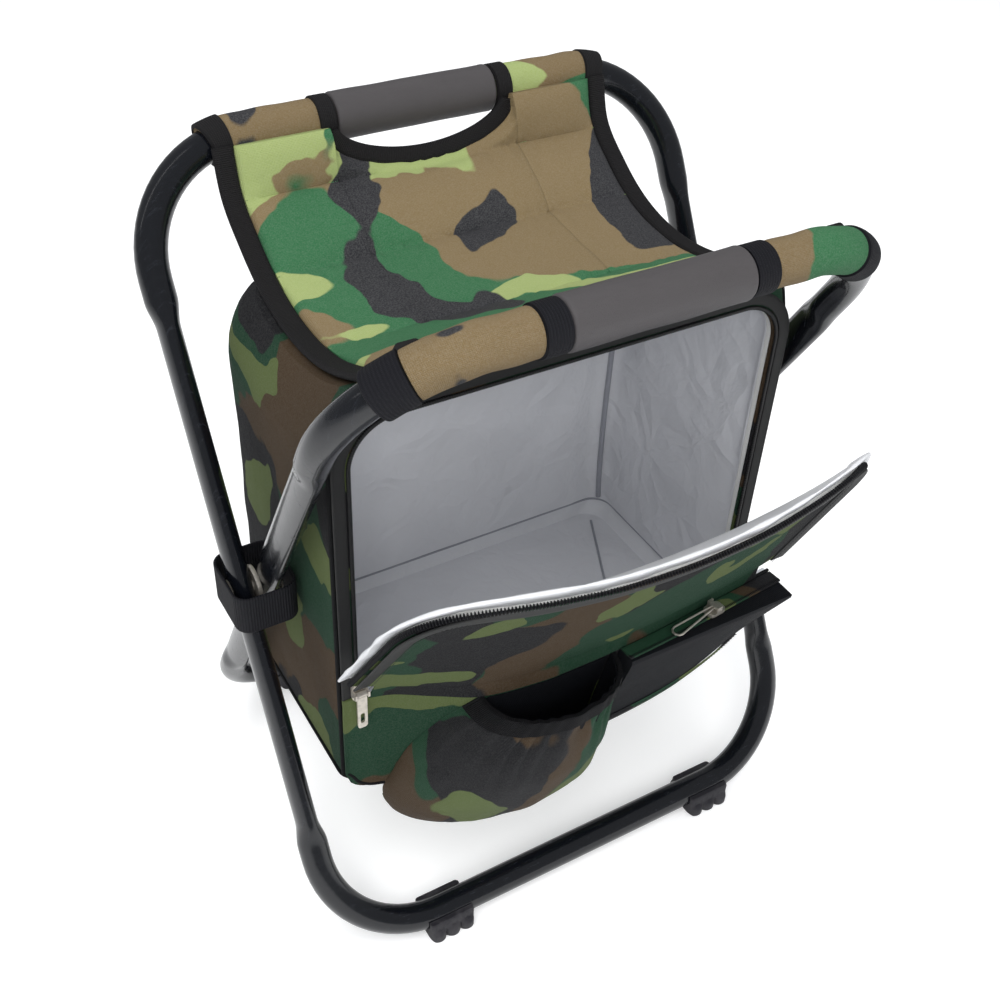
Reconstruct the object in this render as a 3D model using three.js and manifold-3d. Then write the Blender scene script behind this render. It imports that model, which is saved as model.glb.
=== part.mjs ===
// A folding cooler stool: two crossed tube loops on a pivot, a slung seat, and a cooler bag between them.
// Millimetres, +Z up, +X to the right of someone who faces the open front, which looks along -Y.
import * as THREE from 'three';
import { mergeVertices } from 'three/addons/utils/BufferGeometryUtils.js';
import Module from 'manifold-3d';

const wasm = await Module();
wasm.setup();

// Clearances
const FIT_GAP = 0.3;
const CUT_OVERRUN = 6;
const WELD_TOLERANCE = 0.001;
const SLIVER = 0.02;

// Tube frames
const TUBE_D = 18;
const INNER_WIDTH = 309;
const PIVOT_GAP = 2.4;
const LEG_BELOW_PIVOT = 238;
const LEG_ABOVE_PIVOT = 241.5;
const LEG_LEAN = THREE.MathUtils.degToRad(30);
const BEND_R = 66;
const FLAT_ACROSS = 12.6;
const FLAT_ALONG = 20.4;
const FLAT_FROM_BEND = 10;
const FLAT_RUN = 16;

// Pivot hardware
const RIVET_D = 8;
const RIVET_HEAD_D = 15;
const RIVET_HEAD_T = 1.4;
const WASHER_D = 24;

// Rubber feet
const FOOT_SOLE = 3;
const FOOT_WALL = 3;
const FOOT_LENGTH = 30;
const FOOT_HEIGHT = 16;
const FOOT_INSET = 54.5;
const LOBE_D = 11;
const LOBE_HEIGHT = 8;
const LOBE_OVERHANG = 3;

// Foam grips
const GRIP_D = 27;
const GRIP_LENGTH = 101;
const GRIP_ROUND = 2;

// Cloth sleeves round the top bars
const SLEEVE_T = 2.9;
const SLEEVE_INSET = 32.5;
const BAND_T = 3.7;
const BAND_WIDTH = 13.5;
const SLEEVE_HEM = 1;

// Seat
const SEAT_INSET = 29.5;
const SEAT_SAG = 63;
const SEAT_PAD_T = 6.5;
const SEAT_SEAM_T = 2.6;
const BINDING_WIDTH = 12;
const BINDING_T = 4.4;
const HANDLE_GAP = 1.5;
const HANDLE_DROP = 18;
const HANDLE_BINDING = 10;

// Cooler bag
const BAG_SIDE_GAP = 3.5;
const BAG_TOP_INSET = 17;
const BAG_BOTTOM = 101;
const BAG_FRONT = 70;
const BAG_REAR = 86;
const ROOF_GAP = 0.8;
const BAG_EDGE_R = 8;
const BAG_REAR_R = 28;
const SHELL_T = 1.8;
const FOAM_T = 3.4;
const LINER_T = 1.2;
const OPENING_INSET = 11;
const OPENING_TOP = 364;
const OPENING_SILL = 9;
const OPENING_R = 26;
const TAPE_WIDTH = 7.5;
const LID_TAPE_WIDTH = 12;
const TAPE_T = 1.2;
const COIL_WIDTH = 3;
const COIL_T = 2;

// Lower front panel and its pockets
const PANEL_TOP = 179;
const PANEL_T = 4;
const PANEL_TOP_BULGE = 40;
const PANEL_BOTTOM_BULGE = 26;
const CUP_INSET = 20;
const CUP_RIGHT = 8;
const CUP_MOUTH_LEFT = 72;
const CUP_MOUTH_RIGHT = 15;
const CUP_DEPTH = 42;
const CUP_BOTTOM = 78;
const CUP_TUCK_UNDER = 0.5;
const CUP_WALL = 2;
const HEM_HEIGHT = 9;
const HEM_T = 1.2;
const POUCH_LEFT = 19;
const POUCH_INSET = 2;
const POUCH_BOTTOM = 103;
const POUCH_BOTTOM_T = 5;
const POUCH_TOP_FRONT = 124;
const TRIM_HEIGHT = 7;
const TRIM_T = 1.2;
const STRIP_WIDTH = 10;
const STRIP_T = 1.6;

// Lid
const LID_HINGE_Y = -98;
const LID_HINGE_Z = 192;
const LID_LENGTH = 148;
const LID_CORNER_R = 50;
const LID_START = 8;
const LID_LEAN = THREE.MathUtils.degToRad(25);
const LID_SKIN_T = 1.8;
const LID_FOAM_T = 2.6;
const LID_LINER_T = 1.2;
const LID_EDGE_BOW = 10;
const LID_BASE_BOW = 11;
const LID_TUCK = 21;
const LID_CURL = 14;
const LID_CURL_RUN = 45;
const HINGE_CLOTH_T = 1.6;

// Pivot straps
const STRAP_WIDTH = 26;
const STRAP_T = 1.6;
const STRAP_DEPTH = 44;
const STRAP_R = 9;
const STRAP_DROP = 2;

// Zip hardware
const SLIDER_WIDTH = 9;
const SLIDER_LENGTH = 13;
const SLIDER_T = 2.2;
const PIN_D = 1.6;
const EAR_T = 1.2;
const BARREL_D = 3.8;
const PULL_LENGTH = 27;
const PULL_T = 1.4;
const PULL_SLOT_WIDTH = 2.6;
const PULL_SLOT_LENGTH = 8;
const WIRE_D = 1.4;
const WIRE_LENGTH = 34;
const WIRE_WIDTH = 8.6;
const POUCH_SLIDER_INSET = 54;
const POUCH_ZIP_TURN = THREE.MathUtils.degToRad(-82);

// Places that follow from the sizes above
const TUBE_R = TUBE_D / 2;
const PIVOT_Z = FOOT_SOLE + TUBE_R + LEG_BELOW_PIVOT * Math.cos(LEG_LEAN);
const FLOOR_BAR_Y = LEG_BELOW_PIVOT * Math.sin(LEG_LEAN);
const FLOOR_BAR_Z = FOOT_SOLE + TUBE_R;
const TOP_BAR_Y = LEG_ABOVE_PIVOT * Math.sin(LEG_LEAN);
const TOP_BAR_Z = PIVOT_Z + LEG_ABOVE_PIVOT * Math.cos(LEG_LEAN);
const OUTER_WIDTH = INNER_WIDTH + 2 * (FLAT_ACROSS + PIVOT_GAP);
const OUTER_LEG_X = OUTER_WIDTH / 2;
const INNER_LEG_X = INNER_WIDTH / 2;
const FOOT_AT = INNER_LEG_X - FOOT_INSET;
const SLEEVE_END = INNER_LEG_X - SLEEVE_INSET;
const SEAT_WIDTH = INNER_WIDTH - 2 * SEAT_INSET;
const REAR_SLEEVE_END = SEAT_WIDTH / 2 - SLEEVE_HEM;
const BAG_WIDTH = INNER_WIDTH - TUBE_D - 2 * BAG_SIDE_GAP;
const BAG_TOP_WIDTH = BAG_WIDTH - 2 * BAG_TOP_INSET;
const OPENING_WIDTH = BAG_WIDTH - 2 * OPENING_INSET;
const LID_WIDTH = BAG_WIDTH;
const CUP_LEFT = BAG_WIDTH / 2 - CUP_INSET;
const POUCH_RIGHT = BAG_WIDTH / 2 - POUCH_INSET;
const POUCH_SLIDER_AT = POUCH_RIGHT - POUCH_SLIDER_INSET;
const HANDLE_WIDTH = GRIP_LENGTH + 2 * HANDLE_GAP;
const ZIP_END = PANEL_TOP + FIT_GAP;

const finish = (color, roughness, metalness = 0) =>
  new THREE.MeshStandardMaterial({ color, roughness, metalness });
const glossBlack = finish(0x0d0f14, 0.22, 0.3);
const bareMetal = finish(0xb9b9b4, 0.3, 1);
const blackRubber = finish(0x151517, 0.75);
const greyFoam = finish(0x4c494a, 0.85);
const camoCloth = finish(0x8b7d58, 0.9);
const darkCamoCloth = finish(0x3d4632, 0.85);
const blackWebbing = finish(0x1c1c20, 0.8);
const blackCloth = finish(0x101013, 0.8);
const blackZip = finish(0x0c0c0e, 0.6);
const greyLiner = finish(0x9a9ca2, 0.45);
const whiteFoam = finish(0xd9d9d6, 0.9);

// Closed meshes

/** Gives a closed mesh its outward side, whichever way its rings ran. */
function facingOut(positions, triangles) {
  let volume = 0;
  const corner = (index) => new THREE.Vector3().fromArray(positions, index * 3);
  for (let i = 0; i < triangles.length; i += 3) {
    const [a, b, c] = [corner(triangles[i]), corner(triangles[i + 1]), corner(triangles[i + 2])];
    volume += a.dot(b.cross(c));
  }
  const ordered = volume < 0 ? [...triangles].reverse() : triangles;
  const geometry = new THREE.BufferGeometry();
  geometry.setAttribute('position', new THREE.Float32BufferAttribute(positions, 3));
  geometry.setIndex(ordered);
  return geometry;
}

/**
 * Skins a row of rings. Point j of a ring faces its last point but j, so strips between them cap the ends.
 * Facing quads are split along the same diagonal, so that layers one above another stay parallel.
 */
function loft(rings, endless = false) {
  const size = rings[0].length;
  const positions = rings.flat().flatMap((point) => point.toArray());
  const triangles = [];
  const spans = endless ? rings.length : rings.length - 1;
  for (let i = 0; i < spans; i += 1) {
    const here = i * size;
    const next = ((i + 1) % rings.length) * size;
    for (let j = 0; j < size; j += 1) {
      const k = (j + 1) % size;
      const [a, b, c, d] = [here + j, next + j, next + k, here + k];
      triangles.push(...(j < size / 2 ? [a, b, c, a, c, d] : [a, b, d, b, c, d]));
    }
  }
  if (!endless) {
    const last = (rings.length - 1) * size;
    for (let j = 0; j < size / 2 - 1; j += 1) {
      const [k, m, n] = [j + 1, size - 2 - j, size - 1 - j];
      triangles.push(j, k, m, j, m, n);
      triangles.push(last + j, last + m, last + k, last + j, last + n, last + m);
    }
  }
  return facingOut(positions, triangles);
}

/** Turns a closed three.js geometry into a solid for cutting and joining. */
function solidOf(geometry) {
  const bare = new THREE.BufferGeometry();
  bare.setAttribute('position', geometry.getAttribute('position'));
  if (geometry.index) bare.setIndex(geometry.index);
  const merged = mergeVertices(bare, WELD_TOLERANCE);
  const vertProperties = new Float32Array(merged.getAttribute('position').array);
  const triVerts = new Uint32Array(merged.index.array);
  return new wasm.Manifold(new wasm.Mesh({ numProp: 3, vertProperties, triVerts }));
}

/** Turns a solid back into a three.js geometry, without slivers. */
function geometryOf(solid) {
  const mesh = solid.simplify(SLIVER).getMesh();
  const geometry = new THREE.BufferGeometry();
  geometry.setAttribute('position', new THREE.BufferAttribute(mesh.vertProperties, 3));
  geometry.setIndex(new THREE.BufferAttribute(mesh.triVerts, 1));
  return geometry;
}

/** Subtracts the cutters from a geometry. */
function cut(geometry, ...cutters) {
  return geometryOf(cutters.reduce((rest, cutter) => rest.subtract(solidOf(cutter)), solidOf(geometry)));
}

/** Joins geometries that overlap. */
function join(geometry, ...others) {
  return geometryOf(others.reduce((whole, other) => whole.add(solidOf(other)), solidOf(geometry)));
}

const smoothstep = (from, to, value) => THREE.MathUtils.smoothstep(value, from, to);

/** Reads a table of evenly spaced shares at a place from 0 to 1. */
function shareAt(shares, place) {
  const scaled = THREE.MathUtils.clamp(place, 0, 1) * (shares.length - 1);
  const index = Math.min(Math.floor(scaled), shares.length - 2);
  return THREE.MathUtils.lerp(shares[index], shares[index + 1], scaled - index);
}

/** A cylinder along X, centred on the middle of its length. */
function rodAlongX(diameter, length, sides) {
  return new THREE.CylinderGeometry(diameter / 2, diameter / 2, length, sides).rotateZ(Math.PI / 2);
}

// The assembly
const stool = new THREE.Group();
const outerPlane = new THREE.Group();
const innerPlane = new THREE.Group();
outerPlane.position.z = PIVOT_Z;
innerPlane.position.z = PIVOT_Z;
outerPlane.rotation.x = -LEG_LEAN;
innerPlane.rotation.x = LEG_LEAN;
stool.add(outerPlane, innerPlane);

/** Adds a named piece to a group and returns it. */
function piece(group, name, geometry, material) {
  const mesh = new THREE.Mesh(geometry, material);
  mesh.name = name;
  group.add(mesh);
  return mesh;
}

// Tube frames, drawn flat in the XZ plane about the pivot axis
const TUBE_SIDES = 16;
const BEND_STEPS = 7;

/** A point of the top bar and its bends at a distance x from the middle, with its outward direction. */
function onTopBar(width, x) {
  const straight = width / 2 - BEND_R;
  const past = Math.min(Math.max(Math.abs(x) - straight, 0), BEND_R);
  const steps = (Math.asin(past / BEND_R) / (Math.PI / 2)) * BEND_STEPS;
  const side = Math.sign(x);
  const bendPoint = (step) => {
    const turn = (step / BEND_STEPS) * (Math.PI / 2);
    const out = new THREE.Vector3(side * Math.sin(turn), 0, Math.cos(turn));
    return new THREE.Vector3(side * straight, 0, LEG_ABOVE_PIVOT - BEND_R).addScaledVector(out, BEND_R);
  };
  const at = bendPoint(Math.floor(steps)).lerp(bendPoint(Math.ceil(steps)), steps % 1);
  if (past === 0) at.x = x;
  const turn = (steps / BEND_STEPS) * (Math.PI / 2);
  return { at, out: new THREE.Vector3(side * Math.sin(turn), 0, Math.cos(turn)) };
}

/** A ring of points across a tube: half sizes outwards in the loop's plane, and across it. */
function tubeRing(at, out, halfOut, halfAcross, sides = TUBE_SIDES) {
  return Array.from({ length: sides }, (_, j) => {
    const angle = ((j + 0.5) / sides) * 2 * Math.PI;
    const across = new THREE.Vector3(0, halfAcross * Math.sin(angle), 0);
    return at.clone().addScaledVector(out, halfOut * Math.cos(angle)).add(across);
  });
}

/** Rings of one radius round the top bar and its bend, at the tube's own stations. */
function barRings(width, side, from, to, radius) {
  const straight = width / 2 - BEND_R;
  const facets = Array.from({ length: BEND_STEPS }, (_, step) =>
    straight + BEND_R * Math.sin((step / BEND_STEPS) * (Math.PI / 2)),
  );
  return [from, ...facets.filter((x) => x > from && x < to), to].map((x) => {
    const { at, out } = onTopBar(width, side * x);
    return tubeRing(at, out, radius, radius);
  });
}

/** One closed loop of tube with rounded corners and legs pressed flat side to side. */
function frameLoop(width) {
  const side = width / 2;
  const top = LEG_ABOVE_PIVOT;
  const bottom = -LEG_BELOW_PIVOT;
  const corners = [
    [side - BEND_R, bottom + BEND_R, -Math.PI / 2],
    [side - BEND_R, top - BEND_R, 0],
    [-side + BEND_R, top - BEND_R, Math.PI / 2],
    [-side + BEND_R, bottom + BEND_R, Math.PI],
  ];
  const flatBottom = bottom + BEND_R + FLAT_FROM_BEND;
  const flatTop = top - BEND_R - FLAT_FROM_BEND;
  const legStops = [
    flatBottom,
    flatBottom + FLAT_RUN / 2,
    flatBottom + FLAT_RUN,
    0,
    flatTop - FLAT_RUN,
    flatTop - FLAT_RUN / 2,
    flatTop,
  ];
  const rings = [];
  const addRing = (x, z, out, pressed) => {
    const halfOut = THREE.MathUtils.lerp(TUBE_R, FLAT_ACROSS / 2, pressed);
    const halfAcross = THREE.MathUtils.lerp(TUBE_R, FLAT_ALONG / 2, pressed);
    rings.push(tubeRing(new THREE.Vector3(x, 0, z), out, halfOut, halfAcross));
  };
  const pressedAt = (z) =>
    smoothstep(flatBottom, flatBottom + FLAT_RUN, z) * (1 - smoothstep(flatTop - FLAT_RUN, flatTop, z));
  corners.forEach(([x, z, start], corner) => {
    for (let step = 0; step <= BEND_STEPS; step += 1) {
      const angle = start + (step / BEND_STEPS) * (Math.PI / 2);
      const out = new THREE.Vector3(Math.cos(angle), 0, Math.sin(angle));
      addRing(x + BEND_R * out.x, z + BEND_R * out.z, out, 0);
    }
    if (corner === 0) {
      legStops.forEach((stop) => addRing(side, stop, new THREE.Vector3(1, 0, 0), pressedAt(stop)));
    }
    if (corner === 2) {
      [...legStops]
        .reverse()
        .forEach((stop) => addRing(-side, stop, new THREE.Vector3(-1, 0, 0), pressedAt(stop)));
    }
  });
  const rivetHole = rodAlongX(RIVET_D + 2 * FIT_GAP, width + TUBE_D + CUT_OVERRUN, TUBE_SIDES);
  return cut(loft(rings, true), rivetHole);
}

piece(outerPlane, 'outer_frame', frameLoop(OUTER_WIDTH), glossBlack);
piece(innerPlane, 'inner_frame', frameLoop(INNER_WIDTH), glossBlack);

// Pivot rivets and the washers between the legs
const RIVET_SIDES = 20;

/** A headed rivet from the inner face of the inner leg to the outer face of the outer leg. */
function rivet() {
  const from = INNER_LEG_X - FLAT_ACROSS / 2 - FIT_GAP;
  const to = OUTER_LEG_X + FLAT_ACROSS / 2 + FIT_GAP;
  const profile = [
    [0, from - RIVET_HEAD_T],
    [RIVET_HEAD_D / 2, from - RIVET_HEAD_T],
    [RIVET_HEAD_D / 2, from],
    [RIVET_D / 2, from],
    [RIVET_D / 2, to],
    [RIVET_HEAD_D / 2, to],
    [RIVET_D / 2, to + RIVET_HEAD_T],
    [0, to + RIVET_HEAD_T],
  ].map(([radius, along]) => new THREE.Vector2(radius, along));
  return new THREE.LatheGeometry(profile, RIVET_SIDES).rotateZ(-Math.PI / 2);
}

/** A flat ring that keeps the two legs apart. */
function washer() {
  const thickness = PIVOT_GAP - 2 * FIT_GAP;
  const middle = (OUTER_LEG_X + INNER_LEG_X) / 2;
  const hole = RIVET_D / 2 + FIT_GAP;
  const profile = [
    [hole, -thickness / 2],
    [WASHER_D / 2, -thickness / 2],
    [WASHER_D / 2, thickness / 2],
    [hole, thickness / 2],
    [hole, -thickness / 2],
  ].map(([radius, along]) => new THREE.Vector2(radius, along));
  return new THREE.LatheGeometry(profile, RIVET_SIDES).rotateZ(-Math.PI / 2).translate(middle, 0, 0);
}

for (const [side, sign] of [['left', -1], ['right', 1]]) {
  const turn = sign > 0 ? 0 : Math.PI;
  for (const [name, geometry, material] of [
    ['pivot_rivet', rivet(), bareMetal],
    ['pivot_washer', washer(), bareMetal],
  ]) {
    const mesh = piece(stool, `${side}_${name}`, geometry, material);
    mesh.position.z = PIVOT_Z;
    mesh.rotation.z = turn;
  }
}

// Rubber feet: saddles under the floor bars, with three lobes along each side
const FOOT_LOBES = 3;
const LOBE_SIDES = 12;

/** One saddle foot about the floor bar of a loop, about the middle of its own length. */
function foot(width, lean, side) {
  const reach = TUBE_R + FIT_GAP + FOOT_WALL;
  const block = new THREE.BoxGeometry(FOOT_LENGTH, 2 * reach, FOOT_HEIGHT).translate(0, 0, FOOT_HEIGHT / 2);
  const lobes = [];
  for (let row = 0; row < FOOT_LOBES; row += 1) {
    const along = (row - (FOOT_LOBES - 1) / 2) * (FOOT_LENGTH / FOOT_LOBES);
    for (const sign of [-1, 1]) {
      const lobe = new THREE.CylinderGeometry(LOBE_D / 2, LOBE_D / 2, LOBE_HEIGHT, LOBE_SIDES);
      const across = sign * (reach + LOBE_OVERHANG - LOBE_D / 2);
      lobes.push(lobe.rotateX(Math.PI / 2).translate(along, across, LOBE_HEIGHT / 2));
    }
  }
  const half = FOOT_LENGTH / 2 + CUT_OVERRUN;
  const rings = barRings(width, side, FOOT_AT - half, FOOT_AT + half, TUBE_R + FIT_GAP);
  const onFloor = (point) =>
    new THREE.Vector3(point.x - side * FOOT_AT, point.y, LEG_ABOVE_PIVOT - point.z)
      .applyAxisAngle(new THREE.Vector3(1, 0, 0), lean)
      .add(new THREE.Vector3(0, 0, FLOOR_BAR_Z));
  return cut(join(block, ...lobes), loft(rings.map((ring) => ring.map(onFloor))));
}

for (const [end, y, width, lean] of [
  ['front', -FLOOR_BAR_Y, OUTER_WIDTH, -LEG_LEAN],
  ['rear', FLOOR_BAR_Y, INNER_WIDTH, LEG_LEAN],
]) {
  for (const [side, sign] of [['left', -1], ['right', 1]]) {
    const saddle = piece(stool, `${end}_${side}_foot`, foot(width, lean, sign), blackRubber);
    saddle.position.set(sign * FOOT_AT, y, 0);
  }
}

// Foam grips and cloth sleeves on the top bars
const GRIP_SIDES = 24;

/** A foam tube that slides on a bar along X, with rounded ends. */
function grip() {
  const [inner, outer, half] = [TUBE_R + FIT_GAP, GRIP_D / 2, GRIP_LENGTH / 2];
  const profile = [
    [inner, -half],
    [outer - GRIP_ROUND, -half],
    [outer, -half + GRIP_ROUND],
    [outer, half - GRIP_ROUND],
    [outer - GRIP_ROUND, half],
    [inner, half],
    [inner, -half],
  ].map(([radius, along]) => new THREE.Vector2(radius, along));
  return new THREE.LatheGeometry(profile, GRIP_SIDES).rotateZ(Math.PI / 2);
}

/** A cloth tube round the top bar of a loop, from one distance to another on one side of the middle. */
function sleeve(width, side, from, to, thickness) {
  const bore = loft(barRings(width, side, from - FIT_GAP, to + FIT_GAP, TUBE_R + FIT_GAP));
  return cut(loft(barRings(width, side, from, to, TUBE_R + FIT_GAP + thickness)), bore);
}

for (const [plane, name] of [[innerPlane, 'front_grip'], [outerPlane, 'rear_grip']]) {
  piece(plane, name, grip(), greyFoam).position.z = LEG_ABOVE_PIVOT;
}
const gripEnd = GRIP_LENGTH / 2 + FIT_GAP;
for (const [side, sign] of [['left', -1], ['right', 1]]) {
  const innerBandEnd = gripEnd + BAND_WIDTH;
  const spans = [
    ['inner_band', gripEnd, innerBandEnd, BAND_T, blackWebbing],
    ['sleeve', innerBandEnd + FIT_GAP, SLEEVE_END, SLEEVE_T, camoCloth],
    ['outer_band', SLEEVE_END + FIT_GAP, SLEEVE_END + FIT_GAP + BAND_WIDTH, BAND_T, blackWebbing],
  ];
  for (const [name, from, to, thickness, material] of spans) {
    piece(innerPlane, `front_${side}_${name}`, sleeve(INNER_WIDTH, sign, from, to, thickness), material);
  }
  const rearSleeve = sleeve(OUTER_WIDTH, sign, HANDLE_WIDTH / 2, REAR_SLEEVE_END, SLEEVE_T);
  piece(outerPlane, `rear_${side}_sleeve`, rearSleeve, camoCloth);
}

// Seat: a padded cloth slung between the top bars, with seams sewn across it
const seatSpan = 2 * TOP_BAR_Y;
const seatSagShares = [
  [0.05, -0.04],
  [0.09, 0.4],
  [0.18, 0.68],
  [0.27, 0.87],
  [0.36, 0.97],
  [0.45, 1],
  [0.54, 0.97],
  [0.63, 0.88],
  [0.72, 0.73],
  [0.81, 0.54],
  [0.89, 0.29],
  [0.95, -0.04],
];
const seatSeamShares = [0, 0.12, 0.3, 0.55, 1];
const SEAT_STEPS = 30;
const SEAT_COLUMNS = 8;
const PAD_EDGE_POWER = 6;
const seatLine = new THREE.CatmullRomCurve3(
  seatSagShares.map(
    ([across, down]) => new THREE.Vector3(0, TOP_BAR_Y - across * seatSpan, TOP_BAR_Z - down * SEAT_SAG),
  ),
  false,
  'centripetal',
);

/** How full the padding is at a place along the seat: 0 at a seam and 1 between two. */
function seatFullness(place) {
  const next = seatSeamShares.findIndex((seam) => seam >= place - WELD_TOLERANCE);
  if (next <= 0) return 0;
  const [from, to] = [seatSeamShares[next - 1], seatSeamShares[next]];
  return Math.sqrt(Math.max(Math.sin((Math.PI * (place - from)) / (to - from)), 0));
}

/** A stretch of the slung seat between two sides, with a half thickness for each place and column. */
function seatSheet(left, right, halfThickness, columns) {
  const rings = [];
  for (let i = 0; i <= SEAT_STEPS; i += 1) {
    const place = i / SEAT_STEPS;
    const at = seatLine.getPointAt(place);
    const along = seatLine.getTangentAt(place);
    const up = new THREE.Vector3(0, along.z, -along.y);
    const row = (sign) =>
      Array.from({ length: columns + 1 }, (_, j) => {
        const x = THREE.MathUtils.lerp(left, right, j / columns);
        const half = halfThickness(place, j / columns);
        return new THREE.Vector3(x, 0, 0).add(at).addScaledVector(up, sign * half);
      });
    rings.push([...row(1), ...row(-1).reverse()]);
  }
  return loft(rings);
}

/** The hand hole's outline, pushed out by a margin, as a block that runs along Y through the rear edge. */
function handHole(margin) {
  const block = new THREE.CylinderGeometry(1, 1, 1, 2 * TUBE_SIDES);
  block.scale(HANDLE_WIDTH / 2 + margin, seatSpan / 2, HANDLE_DROP + margin);
  return block.translate(0, TOP_BAR_Y, TOP_BAR_Z);
}

/** The space round a loop's top bar that the seat stays out of, from side to side. */
function barClearance(plane, width) {
  const radius = GRIP_D / 2 + FIT_GAP;
  const reach = SEAT_WIDTH / 2 + CUT_OVERRUN;
  const left = barRings(width, -1, FIT_GAP, reach, radius).reverse();
  const bar = loft([...left, ...barRings(width, 1, FIT_GAP, reach, radius)]);
  plane.updateMatrix();
  return bar.applyMatrix4(plane.matrix);
}

const seatHalf = SEAT_WIDTH / 2;
const seatEnds = [barClearance(innerPlane, INNER_WIDTH), barClearance(outerPlane, OUTER_WIDTH)];
const padHalf = (place, across) => {
  const edge = 1 - Math.abs(2 * across - 1) ** PAD_EDGE_POWER;
  return (SEAT_SEAM_T + (SEAT_PAD_T - SEAT_SEAM_T) * seatFullness(place) * edge) / 2;
};
const bindingHalf = () => BINDING_T / 2;
const seatPanelHalf = seatHalf - BINDING_WIDTH - FIT_GAP;
piece(
  stool,
  'seat_panel',
  cut(
    seatSheet(-seatPanelHalf, seatPanelHalf, padHalf, SEAT_COLUMNS),
    handHole(HANDLE_BINDING + FIT_GAP),
    ...seatEnds,
  ),
  camoCloth,
);
for (const [side, sign] of [['left', -1], ['right', 1]]) {
  const [near, far] = [sign * (seatHalf - BINDING_WIDTH), sign * seatHalf];
  const tape = seatSheet(Math.min(near, far), Math.max(near, far), bindingHalf, 1);
  piece(stool, `seat_${side}_binding`, cut(tape, ...seatEnds), blackWebbing);
}
const handleSheet = solidOf(cut(seatSheet(-seatPanelHalf, seatPanelHalf, bindingHalf, 1), ...seatEnds));
const handleBand = solidOf(handHole(HANDLE_BINDING)).subtract(solidOf(handHole(0)));
piece(stool, 'hand_hole_binding', geometryOf(handleSheet.intersect(handleBand)), blackWebbing);

// Cooler bag: shell, foam and liner nest in one another, open at the front
const bagRiseShares = [0, 0.035, 0.35, 0.68, 0.84, 0.94, 1];
const bagFullnessShares = [0, 1, 1, 1, 0.97, 0.65, 0.2];
const bagRearShares = [0.9, 0.95, 1, 0.99, 0.96, 0.89, 0.79];
const BAG_CORNER_STEPS = 4;
const BAG_ROOF_STEPS = 5;
const SEARCH_STEPS = 18;

/** Height of the seat's underside over a place along Y. */
function underSeat(y) {
  let [low, high] = [0, 1];
  for (let i = 0; i < SEARCH_STEPS; i += 1) {
    const middle = (low + high) / 2;
    if (seatLine.getPointAt(middle).y > y) low = middle;
    else high = middle;
  }
  return seatLine.getPointAt(low).z + SEAT_PAD_T / 2 / seatLine.getTangentAt(low).y - ROOF_GAP;
}

/** The bag's solid form, drawn in from its outer face by an inset on every side. */
function bagForm(inset) {
  const rings = bagRiseShares.map((rise, level) => {
    const fullness = bagFullnessShares[level];
    const lowest = level === 0 ? BAG_WIDTH / 2 - BAG_EDGE_R : BAG_TOP_WIDTH / 2;
    const half = THREE.MathUtils.lerp(lowest, BAG_WIDTH / 2, fullness) - inset;
    const front = -BAG_FRONT + inset;
    const rear = BAG_REAR * bagRearShares[level] - inset;
    const frontR = Math.max(BAG_EDGE_R - inset, FIT_GAP);
    const rearR = Math.max(BAG_REAR_R - inset, FIT_GAP);
    const outline = [];
    for (let step = 0; step <= BAG_CORNER_STEPS; step += 1) {
      const angle = ((step / BAG_CORNER_STEPS) * Math.PI) / 2;
      const [x, y] = [half - frontR + frontR * Math.sin(angle), front + frontR - frontR * Math.cos(angle)];
      outline.push(new THREE.Vector2(x, y));
    }
    for (let step = 1; step < BAG_ROOF_STEPS; step += 1) {
      const y = THREE.MathUtils.lerp(front + frontR, rear - rearR, step / BAG_ROOF_STEPS);
      outline.push(new THREE.Vector2(half, y));
    }
    for (let step = 0; step <= BAG_CORNER_STEPS; step += 1) {
      const angle = ((step / BAG_CORNER_STEPS) * Math.PI) / 2;
      const [x, y] = [half - rearR + rearR * Math.cos(angle), rear - rearR + rearR * Math.sin(angle)];
      outline.push(new THREE.Vector2(x, y));
    }
    const bottom = BAG_BOTTOM + inset;
    const raised = (x, y) =>
      new THREE.Vector3(x, y, THREE.MathUtils.lerp(bottom, underSeat(y) - inset, rise));
    const right = outline.map(({ x, y }) => raised(x, y));
    const left = outline.map(({ x, y }) => raised(-x, y)).reverse();
    return [...right, ...left];
  });
  return loft(rings);
}

const OPENING_CURVES = 6;

/** The opening's outline as a block along Y, with rounded top corners, from one depth to another. */
function openingBlock(half, sill, top, radius, from, to) {
  const shape = new THREE.Shape();
  shape.moveTo(-half, sill);
  shape.lineTo(half, sill);
  shape.lineTo(half, top - radius);
  shape.absarc(half - radius, top - radius, radius, 0, Math.PI / 2);
  shape.absarc(-half + radius, top - radius, radius, Math.PI / 2, Math.PI);
  shape.lineTo(-half, sill);
  const block = new THREE.ExtrudeGeometry(shape, {
    depth: to - from,
    bevelEnabled: false,
    curveSegments: OPENING_CURVES,
  });
  return block.rotateX(Math.PI / 2).translate(0, to, 0);
}

const openingHalf = OPENING_WIDTH / 2;
const wallT = SHELL_T + FOAM_T + LINER_T + 2 * FIT_GAP;
const openingCut = openingBlock(
  openingHalf,
  BAG_BOTTOM + OPENING_SILL,
  OPENING_TOP,
  OPENING_R,
  -BAG_FRONT - CUT_OVERRUN,
  -BAG_FRONT + wallT + CUT_OVERRUN,
);
const foamInset = SHELL_T + FIT_GAP;
const linerInset = foamInset + FOAM_T + FIT_GAP;
for (const [name, inset, thickness, material] of [
  ['bag_shell', 0, SHELL_T, darkCamoCloth],
  ['bag_foam', foamInset, FOAM_T, whiteFoam],
  ['bag_liner', linerInset, LINER_T, greyLiner],
]) {
  piece(stool, name, cut(bagForm(inset), bagForm(inset + thickness), openingCut), material);
}

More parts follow.
